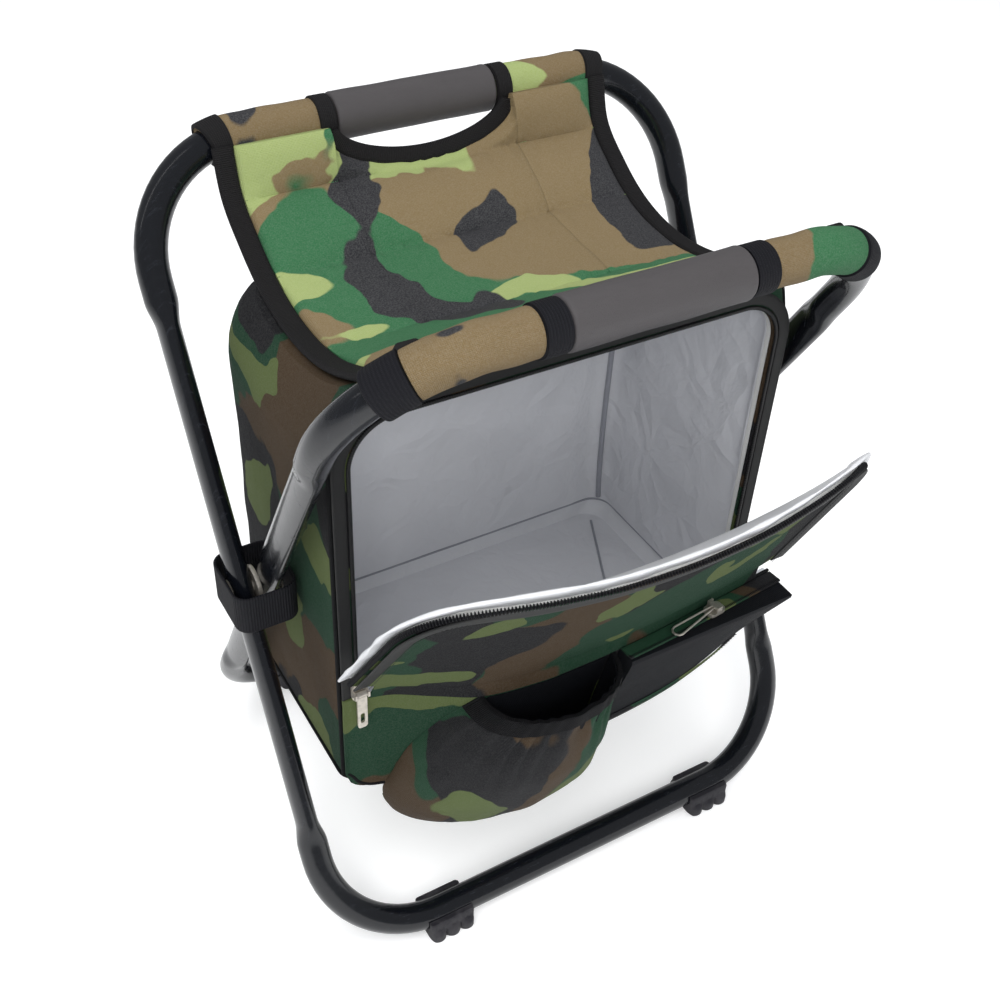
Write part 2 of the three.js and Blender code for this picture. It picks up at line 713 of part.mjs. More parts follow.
/** A band on the bag's front that follows the opening's sides and top. */
function openingBand(margin, width, from, thickness) {
  const half = openingHalf + margin;
  const top = OPENING_TOP + margin;
  const radius = OPENING_R + margin;
  const block = (grow, sill, overrun) =>
    openingBlock(half + grow, sill, top + grow, radius + grow, from - thickness - overrun, from + overrun);
  return cut(block(width, ZIP_END, 0), block(0, ZIP_END - CUT_OVERRUN, CUT_OVERRUN));
}

const frontFace = -BAG_FRONT - FIT_GAP;
piece(stool, 'opening_tape', openingBand(COIL_WIDTH + FIT_GAP, TAPE_WIDTH, frontFace, TAPE_T), blackZip);
piece(stool, 'opening_coil', openingBand(0, COIL_WIDTH, frontFace, COIL_T), blackZip);

// Lower front panel: a tray that bulges forward, more at the top and on the right
const panelTopShares = [0.04, 0.18, 0.52, 0.84, 0.95, 1, 1, 0.98, 0.94, 0.88, 0.82, 0.76, 0.7];
const panelBottomShares = [0.06, 0.34, 0.66, 0.84, 0.94, 0.99, 1, 0.99, 0.94, 0.84, 0.66, 0.42, 0.1];
const PANEL_COLUMNS = 16;
const PANEL_LEVELS = 5;
const panelHalf = BAG_WIDTH / 2 - FIT_GAP;

/** How far the lower front panel stands out from the bag's front at a place. */
function panelReach(x, z) {
  const across = (x + panelHalf) / (2 * panelHalf);
  const up = (z - BAG_BOTTOM) / (PANEL_TOP - BAG_BOTTOM);
  const top = PANEL_TOP_BULGE * shareAt(panelTopShares, across);
  const bottom = PANEL_BOTTOM_BULGE * shareAt(panelBottomShares, across);
  return THREE.MathUtils.lerp(bottom, top, up);
}

/** The bulge as a solid block behind its front face, drawn in by an inset, and open or closed to the bag. */
function panelForm(inset, from, to, back) {
  const half = panelHalf - inset;
  const rings = [];
  for (let level = 0; level <= PANEL_LEVELS; level += 1) {
    const z = THREE.MathUtils.lerp(from, to, level / PANEL_LEVELS);
    const xs = Array.from({ length: PANEL_COLUMNS + 1 }, (_, j) =>
      THREE.MathUtils.lerp(-half, half, j / PANEL_COLUMNS),
    );
    const front = xs.map((x) => new THREE.Vector3(x, frontFace - panelReach(x, z) + inset, z));
    const rear = xs.map((x) => new THREE.Vector3(x, back, z)).reverse();
    rings.push([...front, ...rear]);
  }
  return loft(rings);
}

piece(
  stool,
  'front_panel',
  cut(
    panelForm(0, BAG_BOTTOM, PANEL_TOP, frontFace),
    panelForm(PANEL_T, BAG_BOTTOM + PANEL_T, PANEL_TOP + CUT_OVERRUN, frontFace + CUT_OVERRUN),
  ),
  darkCamoCloth,
);

// Cup pocket on the left of the panel
const cupOutlineShares = [0, 0.42, 0.68, 0.86, 0.96, 1, 0.96, 0.86, 0.68, 0.42, 0];
const cupFullnessShares = [0.5, 0.84, 0.98, 1, 0.9, 0.78, 0.68];
const CUP_LEVELS = 6;

/** The heights of a cup pocket's rings, with one where the bag's bottom ends. */
function cupHeights(from, to) {
  const heights = Array.from({ length: CUP_LEVELS + 1 }, (_, level) =>
    THREE.MathUtils.lerp(from, to, level / CUP_LEVELS),
  );
  if (from < BAG_BOTTOM) heights.push(BAG_BOTTOM);
  return heights.sort((a, b) => a - b);
}

/** The cup pocket's block: wide low down, drawn in at the mouth, and tucked forward under the panel. */
function cupForm(inset, from, to) {
  const rings = cupHeights(from, to).map((z) => {
    const up = THREE.MathUtils.clamp((z - CUP_BOTTOM) / (PANEL_TOP - CUP_BOTTOM), 0, 1);
    const left = -THREE.MathUtils.lerp(CUP_LEFT, CUP_MOUTH_LEFT, up ** 2) + inset;
    const right = THREE.MathUtils.lerp(CUP_RIGHT, CUP_MOUTH_RIGHT, up) - inset;
    const fullness = shareAt(cupFullnessShares, up);
    const under = CUP_TUCK_UNDER * Math.max((BAG_BOTTOM - z) / (BAG_BOTTOM - CUP_BOTTOM), 0);
    const count = cupOutlineShares.length;
    const [front, rear] = [[], []];
    cupOutlineShares.forEach((share, j) => {
      const x = THREE.MathUtils.lerp(left, right, (1 - Math.cos((Math.PI * j) / (count - 1))) / 2);
      const line = frontFace - panelReach(x, Math.max(z, BAG_BOTTOM));
      const depth = share * fullness * CUP_DEPTH;
      const back = under * depth + inset;
      const ahead = z > BAG_BOTTOM ? Math.max(depth - inset, 0) : Math.max(depth - inset, back);
      front.push(new THREE.Vector3(x, line - ahead - FIT_GAP, z));
      rear.push(new THREE.Vector3(x, z > BAG_BOTTOM ? frontFace + CUP_WALL : line - back, z));
    });
    return [...front, ...rear.reverse()];
  });
  return loft(rings);
}

const panelClear = panelForm(
  -FIT_GAP,
  BAG_BOTTOM - FIT_GAP,
  PANEL_TOP + CUT_OVERRUN,
  frontFace + CUT_OVERRUN,
);
const hemBottom = PANEL_TOP - HEM_HEIGHT;
const cupShell = cut(
  cupForm(0, CUP_BOTTOM, hemBottom - FIT_GAP),
  cupForm(CUP_WALL, CUP_BOTTOM + CUP_WALL, PANEL_TOP),
  panelClear,
);
piece(stool, 'cup_pocket', cupShell, darkCamoCloth);
const hem = cut(
  cupForm(-HEM_T / 2, hemBottom, PANEL_TOP),
  cupForm(CUP_WALL, CUP_BOTTOM + CUP_WALL, PANEL_TOP + CUT_OVERRUN),
  panelClear,
);
piece(stool, 'cup_pocket_hem', hem, blackCloth);

// Flat zipped pouch on the right of the panel
const POUCH_COLUMNS = 8;

/** The pouch's block: thin at the bottom, and at the top out to one line in front of the panel. */
function pouchForm(left, right, from, to, margin) {
  const rings = [];
  for (let j = 0; j <= POUCH_COLUMNS; j += 1) {
    const x = THREE.MathUtils.lerp(left, right, j / POUCH_COLUMNS);
    const lowFront = frontFace - panelReach(x, POUCH_BOTTOM) - POUCH_BOTTOM_T;
    const frontAt = (z) => {
      const up = (z - POUCH_BOTTOM) / (PANEL_TOP - POUCH_BOTTOM);
      return THREE.MathUtils.lerp(lowFront, -POUCH_TOP_FRONT, up) - margin;
    };
    rings.push([
      new THREE.Vector3(x, frontFace, from),
      new THREE.Vector3(x, frontAt(from), from),
      new THREE.Vector3(x, frontAt(to), to),
      new THREE.Vector3(x, frontFace, to),
    ]);
  }
  return loft(rings);
}

const trimTop = POUCH_BOTTOM + TRIM_HEIGHT;
piece(
  stool,
  'flat_pouch',
  cut(pouchForm(POUCH_LEFT, POUCH_RIGHT, POUCH_BOTTOM, PANEL_TOP, 0), panelClear),
  blackCloth,
);
const pouchBack = pouchForm(
  POUCH_LEFT - CUT_OVERRUN,
  POUCH_RIGHT + CUT_OVERRUN,
  POUCH_BOTTOM - CUT_OVERRUN,
  trimTop + CUT_OVERRUN,
  2 * FIT_GAP,
);
piece(
  stool,
  'pouch_trim',
  cut(pouchForm(POUCH_LEFT, POUCH_RIGHT, POUCH_BOTTOM, trimTop, 2 * FIT_GAP + TRIM_T), pouchBack, panelClear),
  darkCamoCloth,
);

// Lid: skin, foam and liner, leaning out from its cloth hinge
const lid = new THREE.Group();
lid.position.set(0, LID_HINGE_Y, LID_HINGE_Z);
lid.rotation.x = LID_LEAN;
stool.add(lid);
const lidTuckShares = [1, 0.55, 0.12, 0, 0, 0, 0, 0, 0];
const lidBowShares = [0, 0.44, 0.75, 0.94, 1, 0.94, 0.75, 0.44, 0];
const LID_COLUMNS = 8;
const LID_LEVELS = 4;
const LID_CORNER_STEPS = 5;

/** How far the lid's middle surface stands out of its plane, at a distance up it and a share across it. */
function lidBow(up, across) {
  const rise = up / LID_LENGTH;
  const bow = shareAt(lidBowShares, across);
  const base = LID_BASE_BOW * bow - LID_TUCK * shareAt(lidTuckShares, across);
  const curl = Math.max((up - LID_LENGTH) / LID_CURL_RUN + 1, 0) ** 2;
  return THREE.MathUtils.lerp(base, LID_EDGE_BOW * bow, rise) + LID_CURL * bow * curl;
}

/** A layer of the lid between two distances off its middle surface. */
function lidLayer(low, high) {
  const half = LID_WIDTH / 2;
  const shoulder = LID_LENGTH - LID_CORNER_R;
  const ups = Array.from({ length: LID_LEVELS }, (_, i) =>
    THREE.MathUtils.lerp(LID_START, shoulder, i / LID_LEVELS),
  );
  for (let step = 0; step <= LID_CORNER_STEPS; step += 1) {
    ups.push(shoulder + LID_CORNER_R * Math.sin(((step / LID_CORNER_STEPS) * Math.PI) / 2));
  }
  const rings = ups.map((up) => {
    const past = Math.max(up - shoulder, 0);
    const wide = half - LID_CORNER_R + Math.sqrt(Math.max(LID_CORNER_R ** 2 - past ** 2, 0));
    const row = (offset) =>
      Array.from({ length: LID_COLUMNS + 1 }, (_, j) => {
        const x = THREE.MathUtils.lerp(-wide, wide, j / LID_COLUMNS);
        return new THREE.Vector3(x, -lidBow(up, (x + half) / LID_WIDTH) - offset, up);
      });
    return [...row(low), ...row(high).reverse()];
  });
  return loft(rings);
}

/** The lid's outline drawn in by an inset on its sides and free edge, as a block through its thickness. */
function lidBlock(inset) {
  const reach = LID_TUCK + CUT_OVERRUN + lidT;
  return openingBlock(
    LID_WIDTH / 2 - inset,
    -CUT_OVERRUN,
    LID_LENGTH - inset,
    LID_CORNER_R - inset,
    -reach,
    reach,
  );
}

const lidT = LID_SKIN_T + LID_FOAM_T + LID_LINER_T + 2 * FIT_GAP;
const skinLow = lidT / 2 - LID_SKIN_T;
const foamLow = skinLow - FIT_GAP - LID_FOAM_T;
const tapeLow = lidT / 2 + FIT_GAP;
const lidFoam = solidOf(lidLayer(foamLow, foamLow + LID_FOAM_T)).intersect(solidOf(lidBlock(COIL_WIDTH)));
piece(lid, 'lid_skin', lidLayer(skinLow, lidT / 2), darkCamoCloth);
piece(lid, 'lid_foam', geometryOf(lidFoam), whiteFoam);
piece(lid, 'lid_liner', lidLayer(-lidT / 2, LID_LINER_T - lidT / 2), greyLiner);
piece(lid, 'lid_tape', cut(lidLayer(tapeLow, tapeLow + TAPE_T), lidBlock(LID_TAPE_WIDTH)), blackZip);

// Cloth hinge between the panel's rim and the lid's lower edge
const HINGE_COLUMNS = 16;
const zipX = openingHalf + COIL_WIDTH / 2;
const hingeHalf = zipX - SLIDER_WIDTH / 2 - 2 * FIT_GAP;

/** The strip of cloth that the lid folds on. */
function hingeCloth() {
  const rings = [];
  const toLid = new THREE.Euler(LID_LEAN, 0, 0);
  for (let j = 0; j <= HINGE_COLUMNS; j += 1) {
    const x = THREE.MathUtils.lerp(-hingeHalf, hingeHalf, j / HINGE_COLUMNS);
    const across = (x + panelHalf) / (2 * panelHalf);
    const low = new THREE.Vector3(x, frontFace - panelReach(x, PANEL_TOP), PANEL_TOP + FIT_GAP);
    const high = new THREE.Vector3(x, -lidBow(LID_START, across), LID_START - HINGE_CLOTH_T);
    high.applyEuler(toLid).add(lid.position);
    const ahead = new THREE.Vector3(0, -HINGE_CLOTH_T, 0);
    rings.push([low, high, high.clone().add(ahead), low.clone().add(ahead)]);
  }
  return loft(rings);
}

piece(stool, 'hinge_cloth', hingeCloth(), darkCamoCloth);

// Webbing straps that tie the bag to both crossings
const STRAP_CURVE_SEGMENTS = 5;

/** A rounded rectangle about the origin. */
function roundedRectangle(width, depth, radius) {
  const [x, y] = [width / 2, depth / 2];
  const shape = new THREE.Shape();
  shape.moveTo(-x + radius, -y);
  shape.absarc(x - radius, -y + radius, radius, -Math.PI / 2, 0);
  shape.absarc(x - radius, y - radius, radius, 0, Math.PI / 2);
  shape.absarc(-x + radius, y - radius, radius, Math.PI / 2, Math.PI);
  shape.absarc(-x + radius, -y + radius, radius, Math.PI, 1.5 * Math.PI);
  return shape;
}

const strapInside = BAG_WIDTH / 2 + FIT_GAP;
const strapOutside = OUTER_LEG_X + FLAT_ACROSS / 2 + RIVET_HEAD_T + 3 * FIT_GAP + STRAP_T;
const strapLoopWidth = strapOutside - strapInside;
for (const [side, sign] of [['left', -1], ['right', 1]]) {
  const shape = roundedRectangle(strapLoopWidth, STRAP_DEPTH, STRAP_R);
  const [innerWidth, innerDepth] = [strapLoopWidth - 2 * STRAP_T, STRAP_DEPTH - 2 * STRAP_T];
  shape.holes.push(roundedRectangle(innerWidth, innerDepth, STRAP_R - STRAP_T));
  const loop = new THREE.ExtrudeGeometry(shape, {
    depth: STRAP_WIDTH,
    bevelEnabled: false,
    curveSegments: STRAP_CURVE_SEGMENTS,
  });
  loop.translate(sign * (strapInside + strapLoopWidth / 2), 0, PIVOT_Z - STRAP_DROP - STRAP_WIDTH / 2);
  piece(stool, `${side}_pivot_strap`, loop, blackWebbing);
}

// Zips: each slider carries its pull on a pin between two ears
const HARDWARE_CURVES = 3;
const PIN_SIDES = 8;
const WIRE_STEPS = 5;
const pinHeight = FIT_GAP + BARREL_D / 2;
const pinHole = PIN_D / 2 + FIT_GAP;
const pullWidth = SLIDER_WIDTH - 2 * EAR_T - 2 * FIT_GAP;

/** A slider in the XZ plane that faces -Y, with its pin along X. */
function zipSlider() {
  const plate = roundedRectangle(SLIDER_WIDTH, SLIDER_LENGTH, SLIDER_WIDTH / 3);
  const body = new THREE.ExtrudeGeometry(plate, {
    depth: SLIDER_T,
    bevelEnabled: false,
    curveSegments: HARDWARE_CURVES,
  });
  const rise = pinHeight + BARREL_D / 2 + FIT_GAP;
  const ears = [-1, 1].map((side) => {
    const ear = new THREE.BoxGeometry(EAR_T, BARREL_D, rise);
    return ear.translate((side * (SLIDER_WIDTH - EAR_T)) / 2, 0, SLIDER_T + rise / 2 - FIT_GAP);
  });
  const pin = rodAlongX(PIN_D, SLIDER_WIDTH - EAR_T, PIN_SIDES).translate(0, 0, SLIDER_T + pinHeight);
  return join(body, ...ears, pin).rotateX(Math.PI / 2);
}

/** Hangs a pull's blade from a barrel round the pin, with the pin's axis along X at the origin. */
function onBarrel(blade) {
  const barrel = rodAlongX(BARREL_D, pullWidth, 2 * PIN_SIDES);
  return cut(join(barrel, blade), rodAlongX(2 * pinHole, pullWidth + CUT_OVERRUN, PIN_SIDES));
}

/** The main zip's pull: a flat blade with a slot near its foot. */
function zipPull() {
  const shape = roundedRectangle(pullWidth, PULL_LENGTH, pullWidth / 3);
  const slot = roundedRectangle(PULL_SLOT_WIDTH, PULL_SLOT_LENGTH, PULL_SLOT_WIDTH / 2);
  const lower = new THREE.Vector2(0, PULL_SLOT_LENGTH - PULL_LENGTH / 2);
  shape.holes.push(new THREE.Path(slot.getPoints(HARDWARE_CURVES).map((point) => point.add(lower))));
  const blade = new THREE.ExtrudeGeometry(shape, {
    depth: PULL_T,
    bevelEnabled: false,
    curveSegments: HARDWARE_CURVES,
  });
  return onBarrel(blade.translate(0, -PULL_LENGTH / 2, -PULL_T / 2).rotateX(Math.PI / 2));
}

/** The pouch's pull: a long loop of wire that widens away from its barrel. */
function wirePull() {
  const rings = [];
  const near = BARREL_D / 4;
  const far = (WIRE_WIDTH - WIRE_D) / 2;
  for (const [radius, height, start] of [[near, -BARREL_D / 2, 0], [far, far - WIRE_LENGTH, Math.PI]]) {
    for (let step = 0; step <= WIRE_STEPS; step += 1) {
      const angle = start + (step / WIRE_STEPS) * Math.PI;
      const out = new THREE.Vector3(Math.cos(angle), 0, Math.sin(angle));
      const at = new THREE.Vector3(0, 0, height).addScaledVector(out, radius);
      rings.push(tubeRing(at, out, WIRE_D / 2, WIRE_D / 2, PIN_SIDES));
    }
  }
  return onBarrel(loft(rings, true));
}

/** Puts a slider and its pull at a place in a group, with the pull tilted towards the cloth behind it. */
function zipHardware(group, prefix, at, pull, tilt) {
  piece(group, `${prefix}_slider`, zipSlider(), bareMetal).position.copy(at);
  const hung = piece(group, `${prefix}_pull`, pull, bareMetal);
  hung.position.copy(at).add(new THREE.Vector3(0, -SLIDER_T - pinHeight, 0));
  hung.rotation.x = tilt;
}

const sliderBack = frontFace - COIL_T - FIT_GAP;
zipHardware(stool, 'zip', new THREE.Vector3(-zipX, sliderBack, ZIP_END + SLIDER_LENGTH / 2), zipPull(), 0);

/** Where the back edge of the pouch's strip runs, at a distance x from the middle. */
const stripBack = (x) => frontFace - panelReach(x, PANEL_TOP) - FIT_GAP - HINGE_CLOTH_T;
const stripLow = PANEL_TOP + FIT_GAP;

/** The camo strip along the pouch's top, against the hinge cloth. */
function pouchStrip() {
  const rings = [];
  for (let j = 0; j <= POUCH_COLUMNS; j += 1) {
    const x = THREE.MathUtils.lerp(POUCH_LEFT, POUCH_RIGHT, j / POUCH_COLUMNS);
    const [back, front] = [stripBack(x), stripBack(x) - STRIP_WIDTH];
    rings.push([
      new THREE.Vector3(x, back, stripLow),
      new THREE.Vector3(x, front, stripLow),
      new THREE.Vector3(x, front, stripLow + STRIP_T),
      new THREE.Vector3(x, back, stripLow + STRIP_T),
    ]);
  }
  return loft(rings);
}

piece(stool, 'pouch_strip', pouchStrip(), darkCamoCloth);
const pouchZipTurn = new THREE.Group();
const pouchZip = new THREE.Group();
pouchZipTurn.position.set(
  POUCH_SLIDER_AT,
  stripBack(POUCH_SLIDER_AT) - STRIP_WIDTH + SLIDER_WIDTH / 3,
  stripLow + STRIP_T + FIT_GAP,
);
pouchZipTurn.rotation.z = POUCH_ZIP_TURN;
pouchZip.rotation.x = -Math.PI / 2;
pouchZipTurn.add(pouchZip);
stool.add(pouchZipTurn);
const wireDrop = SLIDER_T + pinHeight - WIRE_D / 2;
zipHardware(pouchZip, 'pouch_zip', new THREE.Vector3(), wirePull(), Math.asin(wireDrop / WIRE_LENGTH));

// The finished stool stands on the floor with its origin under the middle of its box
stool.updateMatrixWorld(true);
const middle = new THREE.Box3().setFromObject(stool).getCenter(new THREE.Vector3());
stool.position.set(-middle.x, -middle.y, 0);

export default stool;
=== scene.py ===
"""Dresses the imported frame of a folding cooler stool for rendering.

Lengths in the classes are millimetres in the part's own frame. The workbench turns them into metres in the
row frame.
"""

import logging
import math
from dataclasses import dataclass, field
from enum import Enum
from typing import Callable, Sequence

import bmesh
import bpy
import numpy as np
from mathutils import Matrix, Vector, noise

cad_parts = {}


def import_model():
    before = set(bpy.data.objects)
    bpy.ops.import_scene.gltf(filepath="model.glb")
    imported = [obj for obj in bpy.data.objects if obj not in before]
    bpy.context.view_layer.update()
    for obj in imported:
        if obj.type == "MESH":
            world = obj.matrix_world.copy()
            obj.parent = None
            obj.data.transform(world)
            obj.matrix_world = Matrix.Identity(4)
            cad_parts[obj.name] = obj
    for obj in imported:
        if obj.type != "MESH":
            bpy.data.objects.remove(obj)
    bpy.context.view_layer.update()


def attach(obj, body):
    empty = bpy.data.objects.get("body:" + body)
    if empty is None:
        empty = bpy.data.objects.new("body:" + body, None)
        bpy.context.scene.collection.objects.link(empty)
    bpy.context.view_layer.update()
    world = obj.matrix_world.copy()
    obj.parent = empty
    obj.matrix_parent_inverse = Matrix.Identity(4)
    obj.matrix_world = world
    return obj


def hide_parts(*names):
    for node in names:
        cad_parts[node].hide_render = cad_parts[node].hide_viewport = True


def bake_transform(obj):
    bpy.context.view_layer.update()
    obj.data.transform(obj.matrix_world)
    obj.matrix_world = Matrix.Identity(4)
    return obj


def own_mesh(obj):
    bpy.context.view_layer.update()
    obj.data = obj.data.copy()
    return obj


LOG = logging.getLogger("cooler_stool")
MILLIMETRE = 0.001
SHIFT_Y = 23.638281  # from the part's pivot to the middle of its box, in millimetres
UV_NAME = "cloth"
UPWARDS = (0.0, 0.0, 1.0)
FORWARDS = (0.0, -1.0, 0.0)
SIDES = (("left", -1), ("right", 1))

Colour = tuple[float, float, float]
Points = np.ndarray
Thing = bpy.types.Object
Table = tuple[float, ...]
Pair = tuple[float, float]
Pairs = tuple[Pair, ...]


def linear(red: int, green: int, blue: int) -> Colour:
    """Turns an 8-bit display colour into scene-linear numbers."""
    shares = (red / 255, green / 255, blue / 255)
    return tuple(s / 12.92 if s <= 0.04045 else ((s + 0.055) / 1.055) ** 2.4 for s in shares)


def toned(colour: Colour, scale: float, lift: float = 0.0) -> Colour:
    """Scales and lifts a colour, up to full brightness."""
    return tuple(min(1.0, part * scale + lift) for part in colour)


def read_table(places: Sequence[float], values: Sequence[float], at: Points) -> Points:
    """Reads a table as a smooth curve that doesn't overshoot.

    Args:
        places: Rising places of the table's entries.
        values: The entries.
        at: Places to read.

    Returns:
        The curve's values there.
    """
    x, y = np.asarray(places, float), np.asarray(values, float)
    step, slope = np.diff(x), np.diff(y) / np.diff(x)
    turn = np.zeros(len(x))
    same = slope[:-1] * slope[1:] > 0
    w1, w2 = 2 * step[1:] + step[:-1], step[1:] + 2 * step[:-1]
    with np.errstate(divide="ignore", invalid="ignore"):
        mean = (w1 + w2) / (w1 / slope[:-1] + w2 / slope[1:])
    turn[1:-1] = np.where(same, mean, 0)
    turn[0], turn[-1] = slope[0], slope[-1]
    at = np.clip(at, x[0], x[-1])
    i = np.clip(np.searchsorted(x, at, side="right") - 1, 0, len(x) - 2)
    t = (at - x[i]) / step[i]
    rise = (1 + 2 * t) * (1 - t) ** 2 * y[i] + t * t * (3 - 2 * t) * y[i + 1]
    return rise + step[i] * (t * (1 - t) ** 2 * turn[i] + t * t * (t - 1) * turn[i + 1])


def read_shares(shares: Sequence[float], at: Points) -> Points:
    """Reads a table of evenly spaced shares at places from 0 to 1."""
    return read_table(np.linspace(0, 1, len(shares)), shares, np.asarray(at, float))


def ease(low: float, high: float, at: Points) -> Points:
    """Rises smoothly from 0 at low to 1 at high."""
    t = np.clip((np.asarray(at, float) - low) / (high - low), 0, 1)
    return t * t * (3 - 2 * t)


def unit(vectors: Points) -> Points:
    """Scales vectors to length 1."""
    return vectors / np.maximum(np.linalg.norm(vectors, axis=-1, keepdims=True), 1e-9)


def spots(x: Points | float, y: Points | float, z: Points | float) -> Points:
    """Stacks coordinates into points; a single number stands for all of them."""
    return np.stack(np.broadcast_arrays(x, y, z), -1)


def quarter(count: int) -> Points:
    """Evenly spaced angles over a right angle."""
    return np.linspace(0, math.pi / 2, count)


def whole_turn(count: int) -> Points:
    """Evenly spaced angles round a circle."""
    return np.arange(count) / count * 2 * math.pi


def mirrored(right: Points) -> Points:
    """Joins a right-hand outline to its mirror image on the left."""
    return np.concatenate([right, right[::-1] * (-1, 1)])


def arch(half: float, top: float, radius: float, low: float, counts: tuple[int, int, int]) -> Points:
    """A line up a left side, over a top with round corners and down the right side.

    Args:
        half: Half of the width.
        top: Height of the top.
        radius: Radius of its corners.
        low: Height at which the sides start.
        counts: Points along a side, round a corner and along the top.

    Returns:
        Places across and up.
    """
    turn = quarter(counts[1])
    side = np.linspace(low, top - radius, counts[0])[:-1]
    left = np.column_stack([np.full(len(side), -half), side])
    bend = np.column_stack([-half + radius - radius * np.cos(turn), top - radius + radius * np.sin(turn)])
    head = np.linspace(-half + radius, half - radius, counts[2])[1:-1]
    over = np.column_stack([head, np.full(len(head), top)])
    return np.concatenate([left, bend, over, bend[::-1] * (-1, 1), left[::-1] * (-1, 1)])


def strip_profile(
    width: float, thickness: float, rounding: float = 0.48, steps: int = 3, across: int = 4
) -> Points:
    """The outline of a flat strip's cross-section.

    Args:
        width: Size along the first coordinate.
        thickness: Size along the second.
        rounding: Corner radius as a share of the thickness.
        steps: Steps round each corner.
        across: Spans across each flat side.

    Returns:
        Points round the outline.
    """
    r = thickness * rounding
    a, b = width / 2 - r, thickness / 2 - r
    outline = []
    for x, y, start in ((a, b, 0.0), (-a, b, 0.5), (-a, -b, 1.0), (a, -b, 1.5)):
        for step in range(steps + 1):
            turn = (start + step / steps / 2) * math.pi
            outline.append((x + r * math.cos(turn), y + r * math.sin(turn)))
        if start in (0.0, 1.0):
            outline += [(x - 2 * x * k / across, outline[-1][1]) for k in range(1, across)]
    return np.array(outline)


def round_profile(radius: float, sides: int = 12) -> Points:
    """The outline of a round cord's cross-section."""
    turn = whole_turn(sides)
    return radius * np.stack([np.cos(turn), np.sin(turn)], 1)


def linked(name: str, data: bpy.types.ID) -> Thing:
    """Puts a new object with the given data into the scene."""
    made = bpy.data.objects.new(name, data)
    bpy.context.scene.collection.objects.link(made)
    return made


class Bodies(Enum):
    """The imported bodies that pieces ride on."""

    OUTER = "outer_frame"
    INNER = "inner_frame"
    BAG = "cooler_bag"
    LID = "lid"


class Signal:
    """One output of a shader node, with arithmetic that adds Math nodes."""

    def __init__(self, bench: "NodeBench", socket: bpy.types.NodeSocket) -> None:
        """Wraps a socket of the bench's tree."""
        self.bench = bench
        self.socket = socket

    def _math(self, operation: str, *values: "Signal | float") -> "Signal":
        """Adds a Math node with the given operation and operands."""
        return self.bench.node("ShaderNodeMath", {"operation": operation}, dict(enumerate(values)))

    def __add__(self, other: "Signal | float") -> "Signal":
        """Adds."""
        return self._math("ADD", self, other)

    def __radd__(self, other: float) -> "Signal":
        """Adds to a number."""
        return self._math("ADD", other, self)

    def __rsub__(self, other: float) -> "Signal":
        """Subtracts from a number."""
        return self._math("SUBTRACT", other, self)

    def __mul__(self, other: "Signal | float") -> "Signal":
        """Multiplies."""
        return self._math("MULTIPLY", self, other)

    def __rmul__(self, other: float) -> "Signal":
        """Multiplies a number."""
        return self._math("MULTIPLY", other, self)

    def sine(self, pitch: float) -> "Signal":
        """A wave from 0 to 1 with the given pitch."""
        return self._math("SINE", self * (2 * math.pi / pitch)) * 0.5 + 0.5

    def step(self, low: float, high: float) -> "Signal":
        """Rises from 0 at low to 1 at high, and stays within them."""
        sockets = {0: self, 1: low, 2: high, 3: 0.0, 4: 1.0}
        return self.bench.node("ShaderNodeMapRange", {"clamp": True}, sockets)


